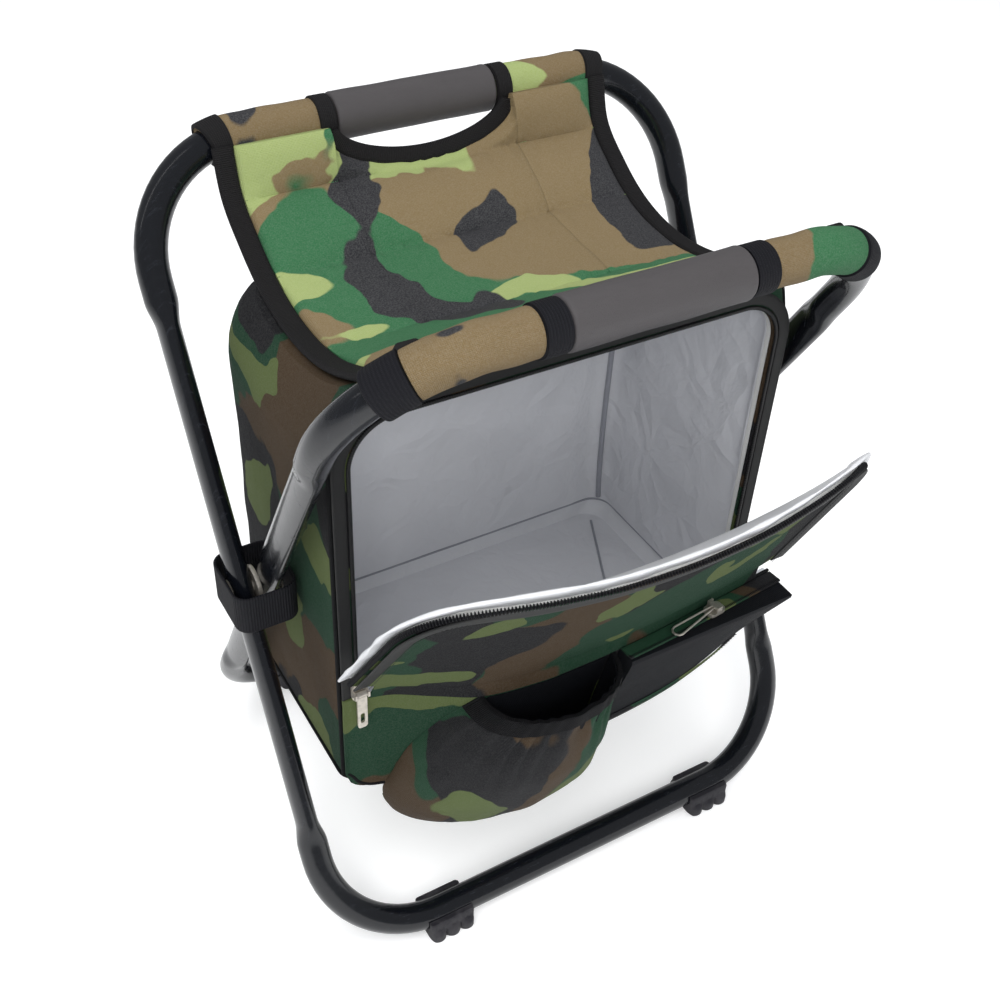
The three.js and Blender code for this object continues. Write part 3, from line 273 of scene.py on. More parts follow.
class NodeBench:
    """Builds the nodes of one tree."""

    def __init__(self, tree: bpy.types.NodeTree) -> None:
        """Starts on an empty tree."""
        self.tree = tree
        tree.nodes.clear()

    def node(
        self, kind: str, settings: dict | None = None, sockets: dict | None = None, output: int | str = 0
    ) -> Signal:
        """Adds a node.

        Args:
            kind: The node's type.
            settings: Its properties, set before its sockets.
            sockets: Values or signals for its inputs, by name or index.
            output: Which output to return.

        Returns:
            The signal of that output.
        """
        made = self.tree.nodes.new(kind)
        for key, value in (settings or {}).items():
            setattr(made, key, value)
        for key, value in (sockets or {}).items():
            if isinstance(value, Signal):
                self.tree.links.new(value.socket, made.inputs[key])
            elif isinstance(value, tuple) and made.inputs[key].type == "RGBA":
                made.inputs[key].default_value = (*value[:3], 1.0)
            else:
                made.inputs[key].default_value = value
        return Signal(self, (made.outputs or made.inputs)[output])

    def mix(self, share: Signal | float, first: Signal | Colour, second: Signal | Colour) -> Signal:
        """Mixes two colours."""
        return self.node("ShaderNodeMix", {"data_type": "RGBA"}, {0: share, 6: first, 7: second}, 2)

    def moved(self, vector: Signal, offset: Signal | Sequence[float]) -> Signal:
        """Adds an offset to a vector."""
        return self.node("ShaderNodeVectorMath", {"operation": "ADD"}, {0: vector, 1: offset})

    def scaled(self, vector: Signal, scale: float) -> Signal:
        """Scales a vector by a number."""
        return self.node("ShaderNodeVectorMath", {"operation": "SCALE"}, {0: vector, "Scale": scale})

    def place(self) -> Signal:
        """Object coordinates."""
        return self.node("ShaderNodeTexCoord", output="Object")

    def cloth_axes(self) -> tuple[Signal, Signal]:
        """The piece's own map in metres, along and across the cloth."""
        mapped = self.node("ShaderNodeUVMap", {"uv_map": UV_NAME})
        node = self.node("ShaderNodeSeparateXYZ", None, {0: mapped}).socket.node
        return Signal(self, node.outputs[0]), Signal(self, node.outputs[1])

    def weave(self, pitch: float) -> Signal:
        """Height of a plain weave."""
        along, across = self.cloth_axes()
        return along.sine(pitch) * across.sine(pitch)

    def noise(
        self, vector: Signal, scale: float, detail: float = 2.0, rough: float = 0.5, colour: bool = False
    ) -> Signal:
        """Noise at a place, as a number or a colour."""
        sockets = {"Vector": vector, "Scale": scale, "Detail": detail, "Roughness": rough}
        return self.node("ShaderNodeTexNoise", None, sockets, 1 if colour else 0)

    def surface(self, height: Signal | None, depth: float, **sockets: Signal | float | Colour) -> None:
        """Adds the surface shader and the output.

        Args:
            height: Height of the relief from 0 to 1, or None for a smooth surface.
            depth: Depth of the relief in metres.
            sockets: Inputs of the surface shader, with spaces written as underscores.
        """
        inputs = {key.replace("_", " "): value for key, value in sockets.items()}
        if height is not None:
            relief = {"Strength": 1.0, "Distance": depth, "Height": height}
            inputs["Normal"] = self.node("ShaderNodeBump", None, relief)
        shader = self.node("ShaderNodeBsdfPrincipled", None, inputs)
        self.node("ShaderNodeOutputMaterial", None, {"Surface": shader})


@dataclass(frozen=True)
class Finish:
    """A surface finish and the record's slot for it; each kind paints its own nodes."""

    name: str
    slot: str
    colour: Colour

    def paint(self, bench: NodeBench) -> None:
        """Adds the finish's nodes to an empty tree."""
        raise NotImplementedError

    def material(self) -> bpy.types.Material:
        """Returns the finish's material, made once."""
        found = bpy.data.materials.get(self.name)
        if found is None:
            found = bpy.data.materials.new(self.name)
            found.use_nodes = True
            self.paint(NodeBench(found.node_tree))
        return found


@dataclass(frozen=True)
class Blotch:
    """One printed colour of a camouflage cloth: its colour, size of blotch, cover and stretch."""

    colour: Colour
    scale: float
    cut: float
    seed: float
    stretch: Colour = (1.0, 1.0, 1.0)


@dataclass(frozen=True)
class CamoCloth(Finish):
    """Printed woven cloth with a general woodland pattern."""

    blotches: tuple[Blotch, ...]
    offset: Colour = (0.0, 0.0, 0.0)
    pitch: float = 0.0008
    rough: float = 0.82
    lint: float = 0.075
    gloss: float = 0.4
    crease: float = 0.7

    def paint(self, bench: NodeBench) -> None:
        """Prints the blotches one over another, on a plain weave with soft creases."""
        place = bench.moved(bench.place(), self.offset)
        warp = bench.scaled(bench.noise(place, 17, 1.5, colour=True), 0.05)
        fine = bench.scaled(bench.noise(place, 90, 1, colour=True), 0.006)
        ground = bench.moved(bench.moved(place, warp), fine)
        colour: Signal | Colour = self.colour
        for blotch in self.blotches:
            sockets = {0: ground, 1: (blotch.seed, 0, 0), 3: blotch.stretch}
            spot = bench.node("ShaderNodeMapping", None, sockets)
            mask = bench.noise(spot, blotch.scale, 0.6, 0.4).step(blotch.cut - 0.004, blotch.cut + 0.004)
            colour = bench.mix(mask, colour, blotch.colour)
        weave = bench.weave(self.pitch)
        grain = bench.noise(place, 1300, 2)
        colour = bench.mix(grain.step(0.35, 0.9) * self.lint, colour, (0.9, 0.9, 0.86))
        colour = bench.mix(0.14 * weave, colour, (0.02, 0.02, 0.02))
        creases = bench.noise(place, 42, 4, 0.6)
        height = weave * 0.14 + creases * self.crease + grain * 0.05
        rough = self.rough + 0.1 * grain
        bench.surface(height, 0.0015, Base_Color=colour, Roughness=rough, Specular_IOR_Level=self.gloss)


@dataclass(frozen=True)
class Webbing(Finish):
    """Woven tape with ribs across it."""

    pitch: float = 0.0016
    rough: float = 0.7

    def paint(self, bench: NodeBench) -> None:
        """Ribs along the tape crossed by fine threads, with painted highlights on the raised parts."""
        along, across = bench.cloth_axes()
        ribs = across.sine(self.pitch)
        threads = along.sine(self.pitch * 0.55)
        fuzz = bench.noise(bench.place(), 700, 3)
        height = ribs * 0.5 + threads * ribs * 0.3 + fuzz * 0.2
        # painted highlight: the raised ribs and threads are painted lighter than the valleys between them;
        # the fuzz adds random tone
        colour = bench.mix(height * 0.5, self.colour, toned(self.colour, 1.7, 0.003))
        rough = self.rough + 0.15 * fuzz
        bench.surface(height, 0.0005, Base_Color=colour, Roughness=rough, Specular_IOR_Level=0.25)


@dataclass(frozen=True)
class PlainCloth(Finish):
    """Plain woven cloth in one colour, with lint and painted highlights on its raised threads."""

    pitch: float = 0.0012
    rough: float = 0.75

    def paint(self, bench: NodeBench) -> None:
        """A plain weave with soft creases, lint and painted highlights where the weave stands up."""
        weave = bench.weave(self.pitch)
        place = bench.place()
        creases = bench.noise(place, 50, 4, 0.6)
        lint = bench.noise(place, 1200, 2)
        # painted highlight: where the weave stands up it is painted lighter; the lint on top is real
        raised_highlight_and_lint = weave * 0.3 + lint.step(0.55, 0.8) * 0.2
        colour = bench.mix(raised_highlight_and_lint, self.colour, toned(self.colour, 1.8, 0.004))
        height, rough = weave * 0.25 + creases * 0.65, self.rough + 0.1 * creases
        bench.surface(height, 0.0014, Base_Color=colour, Roughness=rough, Specular_IOR_Level=0.25)


@dataclass(frozen=True)
class GlossTube(Finish):
    """Enamelled steel tube, glossy, with faint scuffs."""

    def paint(self, bench: NodeBench) -> None:
        """Enamel with slight orange peel and dull scuffs."""
        place = bench.place()
        peel = bench.noise(place, 420, 1)
        drawn = bench.node("ShaderNodeMapping", None, {0: place, 3: (1, 6, 0.6)})
        scuff = bench.noise(drawn, 90, 5, 0.7).step(0.56, 0.75)
        coat = {"Specular_IOR_Level": 0.4, "Coat_Weight": 0.45, "Coat_Roughness": 0.08}
        colour = bench.mix(scuff * 0.2, self.colour, linear(60, 64, 74))
        bench.surface(peel, 0.00005, Base_Color=colour, Roughness=0.22 + 0.14 * scuff, **coat)


@dataclass(frozen=True)
class BareMetal(Finish):
    """Plated zinc or steel, finely brushed."""

    rough: float = 0.28

    def paint(self, bench: NodeBench) -> None:
        """Plating with cloudy wear."""
        place = bench.place()
        wear = bench.noise(place, 260, 4, 0.6)
        colour = bench.mix(wear.step(0.45, 0.8) * 0.5, self.colour, linear(120, 118, 114))
        bench.surface(wear, 0.00012, Base_Color=colour, Roughness=self.rough + 0.2 * wear, Metallic=0.8)


@dataclass(frozen=True)
class FoamGrip(Finish):
    """Closed-cell foam with a smooth, finely pitted skin."""

    rough: float = 0.5

    def paint(self, bench: NodeBench) -> None:
        """Fine pits, with painted shade darkening their floors and the low parts of the relief."""
        place = bench.place()
        cells = bench.node("ShaderNodeTexVoronoi", None, {"Vector": place, "Scale": 1500.0}, "Distance")
        cloud = bench.noise(place, 90, 3)
        height = cells.step(0.05, 0.4) * 0.6 + cloud * 0.4
        # painted shade: the relief's low parts, the pits above all, are painted darker
        colour = bench.mix(height, toned(self.colour, 0.75), self.colour)
        bench.surface(height, 0.00018, Base_Color=colour, Roughness=self.rough + 0.12 * cloud)


@dataclass(frozen=True)
class Rubber(Finish):
    """Moulded rubber with dust in its grain."""

    def paint(self, bench: NodeBench) -> None:
        """A matt grain with paler dust."""
        place = bench.place()
        grain = bench.noise(place, 800, 3)
        dust = bench.noise(place, 70, 5, 0.65).step(0.45, 0.8)
        colour = bench.mix(dust * 0.45, self.colour, linear(96, 94, 96))
        bench.surface(grain, 0.0002, Base_Color=colour, Roughness=0.55 + 0.3 * dust)


@dataclass(frozen=True)
class LinerFilm(Finish):
    """Soft welded film that lines the bag, crinkled."""

    rough: float = 0.38
    crinkle: float = 0.005

    def paint(self, bench: NodeBench) -> None:
        """Sharp and soft crinkles with a satin gloss, random tone, and painted shade in the soft crinkles'
        hollows.
        """
        place = bench.place()
        warp = bench.moved(place, bench.scaled(bench.noise(place, 14, 2, colour=True), 0.05))
        cells = {"Vector": warp, "Scale": 34.0}
        folds = bench.node("ShaderNodeTexVoronoi", {"feature": "F2"}, cells, "Distance")
        soft = bench.noise(warp, 26, 4, 0.55)
        tone = bench.noise(place, 9, 2)
        # random tone from the broad noise, and painted shade: the soft crinkles' hollows are painted darker
        colour = bench.mix(tone.step(0.3, 0.7) * 0.5 + soft * 0.3, toned(self.colour, 0.86), self.colour)
        height = folds * 0.5 + soft * 0.6
        bench.surface(height, self.crinkle, Base_Color=colour, Roughness=self.rough + 0.12 * soft)


@dataclass(frozen=True)
class Moulded(Finish):
    """Small moulded or spun parts, such as zip teeth and thread, and the cells of sheet foam."""

    rough: float = 0.45
    change: float = 0.2
    dark: float = 0.7
    scale: float = 500.0
    depth: float = 0.0001

    def paint(self, bench: NodeBench) -> None:
        """Slight change of tone and gloss."""
        tone = bench.noise(bench.place(), self.scale, 2)
        colour = bench.mix(tone, toned(self.colour, self.dark), self.colour)
        bench.surface(tone, self.depth, Base_Color=colour, Roughness=self.rough + self.change * tone)


BRIGHT_CAMO = (
    Blotch(linear(46, 102, 64), 11.0, 0.545, 0.4, (1.0, 1.3, 1.0)),
    Blotch(linear(152, 166, 104), 12.5, 0.6, 3.1, (0.8, 1.9, 1.0)),
    Blotch(linear(40, 40, 44), 15.5, 0.595, 5.7, (1.1, 1.0, 1.0)),
)
DARK_CAMO = (
    Blotch(linear(66, 52, 36), 10.5, 0.54, 2.4, (1.0, 1.0, 0.8)),
    Blotch(linear(24, 24, 27), 11.5, 0.54, 9.3, (1.1, 1.0, 0.8)),
    Blotch(linear(84, 96, 56), 17.0, 0.62, 6.1, (1.0, 1.0, 1.5)),
)



def dark_camo(name: str, offset: Colour, base: Colour = linear(24, 56, 38), **looks: float) -> CamoCloth:
    """The bag's dark print, shifted by an offset."""
    looks = {"lint": 0.04, "gloss": 0.16, **looks}
    return CamoCloth(name, "dark_camo_cloth", base, DARK_CAMO, offset, **looks)


class Finishes:
    """Every finish of the stool, by use."""

    SEAT = CamoCloth("seat_camo", "camo_cloth", linear(124, 106, 74), BRIGHT_CAMO, (0.4, 0.05, 0.0))
    SLEEVE = CamoCloth(
        "sleeve_camo", "camo_cloth", linear(116, 98, 68), BRIGHT_CAMO, (0.22, 0.35, 0.52), gloss=0.3
    )
    BAG = dark_camo("bag_camo", (0.0, 0.0, 0.0), crease=1.3)
    PANEL = dark_camo("panel_camo", (0.08, 0.42, 0.33), crease=1.2)
    LID = dark_camo("lid_camo", (0.27, 0.05, 0.14))
    POCKET = dark_camo(
        "pocket_camo", (0.33, 0.16, 0.4), linear(24, 60, 40), rough=0.66, lint=0.03, gloss=0.3, crease=1.1
    )
    WEBBING = Webbing("strap_webbing", "black_webbing", linear(22, 22, 26))
    BINDING = Webbing("seat_binding", "black_webbing", linear(28, 27, 28), 0.0011)
    ELASTIC = Webbing("pocket_elastic", "black_cloth", linear(16, 16, 18), 0.0011)
    TAPE = Webbing("zip_tape", "zip_tape", linear(11, 11, 13), 0.0009, 0.62)
    POUCH = PlainCloth("pouch_cloth", "black_cloth", linear(19, 20, 24))
    PIPING = PlainCloth("piping", "black_cloth", linear(13, 13, 15), 0.001)
    TUBE = GlossTube("tube_enamel", "tube", linear(12, 14, 19))
    METAL = BareMetal("plated_metal", "bare_metal", linear(216, 209, 198), 0.24)
    GRIP = FoamGrip("grip_foam", "grey_foam", linear(74, 71, 72))
    RUBBER = Rubber("foot_rubber", "black_rubber", linear(34, 33, 38))
    LINER = LinerFilm("liner_film", "liner", linear(226, 227, 231))
    # painted shade: a darker grey than the liner, so the welds and the floor fold read as shaded creases
    WELD_SHADE = LinerFilm("liner_weld_shade", "liner", linear(158, 160, 168), 0.34, 0.0009)
    LID_LINER = LinerFilm("lid_liner_film", "liner", linear(230, 231, 234), 0.34, 0.0009)
    FOAM = Moulded("sheet_foam", "white_foam", linear(236, 236, 233), 0.9, 0.0, 0.8, 1500.0, 0.0003)
    COIL = Moulded("zip_coil", "zip_tape", linear(20, 20, 23), 0.3)
    BAG_THREAD = Moulded("dark_thread", "black_cloth", linear(22, 22, 22), 0.6)
    SEAT_THREAD = Moulded("dark_thread", "black_webbing", linear(22, 22, 22), 0.6)
    GREEN_THREAD = Moulded("green_thread", "camo_cloth", linear(112, 132, 84), 0.6)
    TUFT = Moulded("thread_ends", "camo_cloth", linear(96, 190, 122), 0.6)


class Held(Enum):
    """How a sheet of cloth is held."""

    HUNG = "hung"
    GATHERED = "gathered"
    STRETCHED = "stretched"


@dataclass
class Workbench:
    """Makes mesh pieces from points in the part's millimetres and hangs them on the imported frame."""

    pieces: list[Thing] = field(default_factory=list)

    @staticmethod
    def placed(points: Points) -> Points:
        """Turns the part's millimetres into metres in the row frame."""
        return (np.asarray(points, float).reshape(-1, 3) + (0, SHIFT_Y, 0)) * MILLIMETRE

    def raw(self, name: str, points: Points, faces: list[list[int]], maps: Points | None = None) -> Thing:
        """Makes a mesh object.

        Args:
            name: The piece's name.
            points: Its vertices in the part's millimetres.
            faces: Vertex numbers of its faces.
            maps: Its cloth map in metres, one pair for each face corner.

        Returns:
            The object, linked to the scene.
        """
        mesh = bpy.data.meshes.new(name)
        mesh.from_pydata(self.placed(points).tolist(), [], faces)
        layer = mesh.uv_layers.new(name=UV_NAME)
        if maps is not None:
            layer.data.foreach_set("uv", np.asarray(maps, np.float32).ravel())
        return linked(name, mesh)

    def grid(
        self, name: str, points: Points, closed: tuple[bool, bool] = (False, False), capped: bool = False
    ) -> Thing:
        """Skins a grid of points.

        Args:
            name: The piece's name.
            points: Rows of columns of points.
            closed: Whether the rows and the columns run round to the first again.
            capped: Whether strips between facing points close the first and last rows.

        Returns:
            The object.
        """
        points = np.asarray(points, float)
        rows, cols = points.shape[:2]
        spans = (rows if closed[0] else rows - 1, cols if closed[1] else cols - 1)
        r, c = (axis.ravel() for axis in np.meshgrid(np.arange(spans[0]), np.arange(spans[1]), indexing="ij"))
        r2, c2 = (r + 1) % rows, (c + 1) % cols
        faces = np.stack([r * cols + c, r * cols + c2, r2 * cols + c2, r2 * cols + c], 1).tolist()
        along = np.linalg.norm(np.roll(points, -1, 1) - points, axis=2).mean(0)
        down = np.linalg.norm(np.roll(points, -1, 0) - points, axis=2).mean(1)
        u, v = (np.concatenate([[0], np.cumsum(steps)]) * MILLIMETRE for steps in (along, down))
        maps = np.stack([u[[c, c + 1, c + 1, c]].T, v[[r, r, r + 1, r + 1]].T], 2).reshape(-1, 2)
        if capped:
            caps = [
                [base + j, base + j + 1, base + cols - 2 - j, base + cols - 1 - j]
                for j in range(cols // 2 - 1)
                for base in (0, (rows - 1) * cols)
            ]
            faces += caps
            maps = np.concatenate([maps, np.zeros((len(caps) * 4, 2))])
        made = self.raw(name, points, faces, maps)
        if capped or all(closed):
            self.mend(made)
        return made

    def shell(self, name: str, rows: Sequence[Points]) -> Thing:
        """Skins a closed body from the lines of points that follow one another round it."""
        return self.grid(name, np.array(rows).transpose(1, 0, 2), (False, True), True)

    def mend(self, piece: Thing, merge: float = 1e-6) -> None:
        """Merges doubled points and turns the faces outwards."""
        mesh = bmesh.new()
        mesh.from_mesh(piece.data)
        bmesh.ops.remove_doubles(mesh, verts=mesh.verts, dist=merge)
        bmesh.ops.dissolve_degenerate(mesh, edges=mesh.edges, dist=merge)
        bmesh.ops.recalc_face_normals(mesh, faces=mesh.faces)
        mesh.to_mesh(piece.data)
        mesh.free()

    def sweep(
        self, name: str, path: Points, facing: Points | Colour, profile: Points, closed: bool = False
    ) -> Thing:
        """Runs a cross-section along a path.

        Args:
            name: The piece's name.
            path: Points of the path.
            facing: The direction of the profile's second coordinate, for each point or for all.
            profile: The cross-section's outline.
            closed: Whether the path runs round to its first point.

        Returns:
            The object, capped where the path is open.
        """
        path = np.asarray(path, float)
        facing = unit(np.broadcast_to(np.asarray(facing, float), path.shape))
        ahead = unit(np.roll(path, -1, 0) - np.roll(path, 1, 0) if closed else np.gradient(path, axis=0))
        side = unit(np.cross(ahead, facing))
        up = unit(np.cross(side, ahead))
        points = path[:, None] + side[:, None] * profile[:, :1] + up[:, None] * profile[:, 1:]
        return self.grid(name, points, (closed, True), not closed)

    def cord(
        self, name: str, path: Points, facing: Colour, radius: float, finish: Finish, sides: int = 10
    ) -> None:
        """Makes a round edging or weld on the bag along a path."""
        self.dress(self.sweep(name, path, facing, round_profile(radius, sides)), finish, Bodies.BAG)

    def baked(self, piece: Thing) -> Thing:
        """Applies a piece's modifiers to its mesh."""
        graph = bpy.context.evaluated_depsgraph_get()
        mesh = bpy.data.meshes.new_from_object(piece.evaluated_get(graph), depsgraph=graph)
        piece.modifiers.clear()
        piece.data = mesh
        return piece

    def cut(self, piece: Thing, *cutters: Thing) -> None:
        """Cuts other objects out of a piece and removes them."""
        for cutter in cutters:
            knife = piece.modifiers.new("cut", "BOOLEAN")
            knife.operation, knife.solver, knife.object = "DIFFERENCE", "EXACT", cutter
            self.baked(piece)
            bpy.data.objects.remove(cutter)

    def box_map(self, piece: Thing) -> None:
        """Gives a piece a cloth map from whichever side each face looks to."""
        mesh = piece.data
        layer = mesh.uv_layers.get(UV_NAME) or mesh.uv_layers.new(name=UV_NAME)
        for face in mesh.polygons:
            axis = max(range(3), key=lambda k: abs(face.normal[k]))
            first, second = [k for k in range(3) if k != axis]
            for loop in face.loop_indices:
                at = mesh.vertices[mesh.loops[loop].vertex_index].co
                layer.data[loop].uv = (at[first], at[second])

    def crumple(
        self, piece: Thing, height: float, size: float, seed: float, bounds: Table | None = None
    ) -> None:
        """Moves a piece's points in and out by smooth noise.

        Args:
            piece: The piece.
            height: Furthest move, in millimetres.
            size: Size of the folds, in millimetres.
            seed: Where in the noise to read.
            bounds: Heights in metres between which the folds set in, and between which they end.
        """
        mesh = piece.data
        normals = [vertex.normal.copy() for vertex in mesh.vertices]
        for vertex, normal in zip(mesh.vertices, normals):
            amount = noise.noise(vertex.co / (size * MILLIMETRE) + Vector((seed, seed, seed)))
            if bounds is not None:
                z = vertex.co.z
                amount *= float(ease(*bounds[:2], z) * (1 - ease(*bounds[2:], z)))
            vertex.co += normal * (amount * height * MILLIMETRE)

    def dress(
        self, piece: Thing, finish: Finish, body: Bodies | None, nodes: Sequence[str] = (), crease: float = 35
    ) -> Thing:
        """Gives a piece its finish and body, and hides the CAD nodes that it replaces.

        Args:
            piece: The piece.
            finish: Its finish, which names the record's material slot.
            body: The body it rides on, or None where it bends between two.
            nodes: CAD nodes that it replaces.
            crease: Edges sharper than this many degrees stay sharp.

        Returns:
            The piece.
        """
        piece.data.materials.clear()
        piece.data.materials.append(finish.material())
        piece.data.shade_smooth()
        piece.data.set_sharp_from_angle(angle=math.radians(crease))
        if body is not None:
            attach(piece, body.value)
        if nodes:
            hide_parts(*nodes)
        self.pieces.append(piece)
        LOG.info("%s: %d faces", piece.name, len(piece.data.polygons))
        return piece

    def sheet(
        self, piece: Thing, width: float
    ) -> None:
        """Works out the length that a cloth cut to a width needs for its surface; the result is not kept.

        Args:
            piece: The cloth, a closed mesh.
            width: Width of the cut, in millimetres.
        """
        cloth = sum(face.area for face in piece.data.polygons) / 2
        flat = (width * MILLIMETRE, cloth / (width * MILLIMETRE))


class Bead(Enum):
    """What is repeated along a line, as segments and rings of a small ball."""

    STITCH = (6, 4)
    TOOTH = (8, 5)


@dataclass
class BeadLine:
    """A row of small rounded shapes along a path, made with Geometry Nodes."""

    bench: Workbench
    bead: Bead = Bead.STITCH
    spacing: float = 2.8
    size: Table = (2.0, 0.5, 0.4)
    jitter: float = 0.1
    seed: int = 7

    def tree(self) -> bpy.types.NodeTree:
        """Returns the node tree of this kind of bead, with its sizes as named inputs."""
        name = f"beads_{self.bead.name.lower()}"
        if name in bpy.data.node_groups:
            return bpy.data.node_groups[name]
        tree = bpy.data.node_groups.new(name, "GeometryNodeTree")
        kinds = {"Spacing": "Float", "Size": "Vector", "Jitter": "Float"}
        for label in ("Geometry", "Spacing", "Size", "Jitter", "Material"):
            kind = f"NodeSocket{kinds.get(label, label)}"
            tree.interface.new_socket(label, in_out="INPUT", socket_type=kind)
        tree.interface.new_socket("Geometry", in_out="OUTPUT", socket_type="NodeSocketGeometry")
        bench = NodeBench(tree)
        given = bench.node("NodeGroupInput").socket.node
        inputs = {socket.name: Signal(bench, socket) for socket in given.outputs if socket.name}
        curve = bench.node("GeometryNodeMeshToCurve", None, {"Mesh": inputs["Geometry"]})
        spaced = {"Curve": curve, "Length": inputs["Spacing"]}
        points = bench.node("GeometryNodeResampleCurve", {"mode": "LENGTH"}, spaced)
        stored = {"data_type": "FLOAT_VECTOR"}
        facing = bench.node("GeometryNodeInputNamedAttribute", stored, {"Name": "facing"})
        tangent = bench.node("GeometryNodeInputTangent")
        flat = bench.node("FunctionNodeAlignRotationToVector", {"axis": "Z"}, {"Vector": facing})
        about = {"axis": "X", "pivot_axis": "Z"}
        turned = bench.node("FunctionNodeAlignRotationToVector", about, {"Rotation": flat, "Vector": tangent})
        drawn = {2: -1.0, 3: 1.0, "Seed": self.seed}
        spread = bench.node("FunctionNodeRandomValue", {"data_type": "FLOAT"}, drawn, 1)
        skew = {"Axis": (0, 0, 1), "Angle": spread * inputs["Jitter"]}
        tilt = bench.node("FunctionNodeAxisAngleToRotation", None, skew)
        both = {"Rotation": turned, "Rotate By": tilt}
        whole = bench.node("FunctionNodeRotateRotation", {"rotation_space": "LOCAL"}, both)
        segments, rings = self.bead.value
        round_one = {"Segments": segments, "Rings": rings, "Radius": 0.5}
        ball = bench.node("GeometryNodeMeshUVSphere", None, round_one)
        sockets = {"Points": points, "Instance": ball, "Rotation": whole, "Scale": inputs["Size"]}
        copies = bench.node("GeometryNodeInstanceOnPoints", None, sockets)
        solid = bench.node("GeometryNodeRealizeInstances", None, {0: copies})
        paint = {"Geometry": solid, "Material": inputs["Material"]}
        bench.node("NodeGroupOutput", None, {0: bench.node("GeometryNodeSetMaterial", None, paint)})
        return tree

    def along(self, name: str, path: Points, facing: Points | Colour, finish: Finish, body: Bodies) -> Thing:
        """Lays the beads along a path and dresses them.

        Args:
            name: The piece's name.
            path: Points of the path in the part's millimetres.
            facing: The direction that the beads face, at each point or at all.
            finish: Their finish.
            body: The body they ride on.

        Returns:
            The object with the beads as a plain mesh.
        """
        count = len(path)
        mesh = bpy.data.meshes.new(name)
        mesh.from_pydata(self.bench.placed(path).tolist(), [(i, i + 1) for i in range(count - 1)], [])
        mesh.attributes.new("facing", "FLOAT_VECTOR", "POINT")
        facing = unit(np.broadcast_to(facing, (count, 3))).astype(np.float32)
        mesh.attributes["facing"].data.foreach_set("vector", facing.ravel())
        made = linked(name, mesh)
        tree = self.tree()
        values = {
            "Spacing": self.spacing * MILLIMETRE,
            "Size": [part * MILLIMETRE for part in self.size],
            "Jitter": self.jitter,
            "Material": finish.material(),
        }
        modifier = made.modifiers.new("beads", "NODES")
        modifier.node_group = tree
        for item in tree.interface.items_tree:
            if item.item_type == "SOCKET" and item.in_out == "INPUT" and item.name in values:
                modifier[item.identifier] = values[item.name]
        return self.bench.dress(self.bench.baked(made), finish, body)


@dataclass
class LegLoop:
    """One closed loop of tube: a floor bar, two legs and a top bar, leaning about the pivot."""

    body: Bodies
    width: float
    lean: float
    below: float = 238.0
    above: float = 241.5
    bend: float = 66.0
    radius: float = 9.0
    pressed_across: float = 12.6
    pressed_along: float = 20.4
    pressed_from: float = 10.0
    pressed_run: float = 16.0
    sole: float = 3.0
    sides: int = 56

    @property
    def pivot_z(self) -> float:
        """Height of the pivot over the floor."""
        return self.sole + self.radius + self.below * math.cos(self.lean)

    def leaned(self, points: Points) -> Points:
        """Turns points of the loop's own plane into the part's frame."""
        x, y, z = np.moveaxis(np.asarray(points, float), -1, 0)
        c, s = math.cos(self.lean), math.sin(self.lean)
        return np.stack([x, y * c - z * s, y * s + z * c + self.pivot_z], -1)

    def bar(self, x: Points, top: bool = True) -> tuple[Points, Points]:
        """Centre line and outward direction of the top or floor bar, in the plane, at distances x."""
        x = np.asarray(x, float)
        straight = self.width / 2 - self.bend
        turn = np.arcsin(np.clip(np.abs(x) - straight, 0, self.bend) / self.bend)
        out = np.stack([np.sign(x) * np.sin(turn), 0 * x, np.cos(turn)], -1)
        reach = (self.above if top else self.below) - self.bend
        centre = spots(np.sign(x) * np.minimum(np.abs(x), straight), 0 * x, reach) + out * self.bend
        flip = (1, 1, 1 if top else -1)
        return centre * flip, out * flip

    def rings(
        self, x: Points, radius: Points, sides: int, ripple: Callable[[Points, Points], Points] | None = None
    ) -> Points:
        """Rings round the top bar.

        Args:
            x: Distances of the rings from the middle.
            radius: Their radii.
            sides: Points in each.
            ripple: Extra radius for each ring and angle.

        Returns:
            Rings of points in the part's frame.
        """
        centre, out = self.bar(x)
        turn = whole_turn(sides)
        reach = np.broadcast_to(np.asarray(radius, float)[:, None], (len(x), sides))
        if ripple is not None:
            reach = reach + ripple(np.asarray(x)[:, None], turn[None])
        outwards = out[:, None] * (reach * np.cos(turn))[..., None]
        across = np.array([0, 1, 0]) * (reach * np.sin(turn))[..., None]
        return self.leaned(centre[:, None] + outwards + across)

    def build(self, bench: Workbench) -> None:
        """Makes the tube."""
        side, top, bottom = self.width / 2, self.above - self.bend, self.bend - self.below
        low, high, run = bottom + self.pressed_from, top - self.pressed_from, self.pressed_run
        leg = np.concatenate([np.linspace(low, low + run, 9), [0.0], np.linspace(high - run, high, 9)])
        press = ease(low, low + run, leg) * (1 - ease(high - run, high, leg))
        stations = []
        corners = ((1, bottom, -0.5), (1, top, 0.0), (-1, top, 0.5), (-1, bottom, 1.0))
        for corner, (sign, z, start) in enumerate(corners):
            for turn in (start + np.linspace(0, 0.5, 19)) * math.pi:
                out = (math.cos(turn), math.sin(turn))
                centre = (sign * (side - self.bend) + self.bend * out[0], z + self.bend * out[1])
                stations.append((*centre, *out, 0.0))
            if corner in (0, 2):
                order = zip(leg, press) if corner == 0 else zip(leg[::-1], press[::-1])
                stations += [(sign * side, z_leg, float(sign), 0.0, pressed) for z_leg, pressed in order]
        x, z, out_x, out_z, pressed = np.array(stations).T[..., None]
        turn = whole_turn(self.sides)
        out = (self.radius + (self.pressed_across / 2 - self.radius) * pressed) * np.cos(turn)
        across = (self.radius + (self.pressed_along / 2 - self.radius) * pressed) * np.sin(turn)
        points = self.leaned(spots(x + out_x * out, across, z + out_z * out))
        tube = bench.grid(f"{self.body.value}_tube", points, (True, True))
        bench.dress(tube, Finishes.TUBE, self.body, [self.body.value])


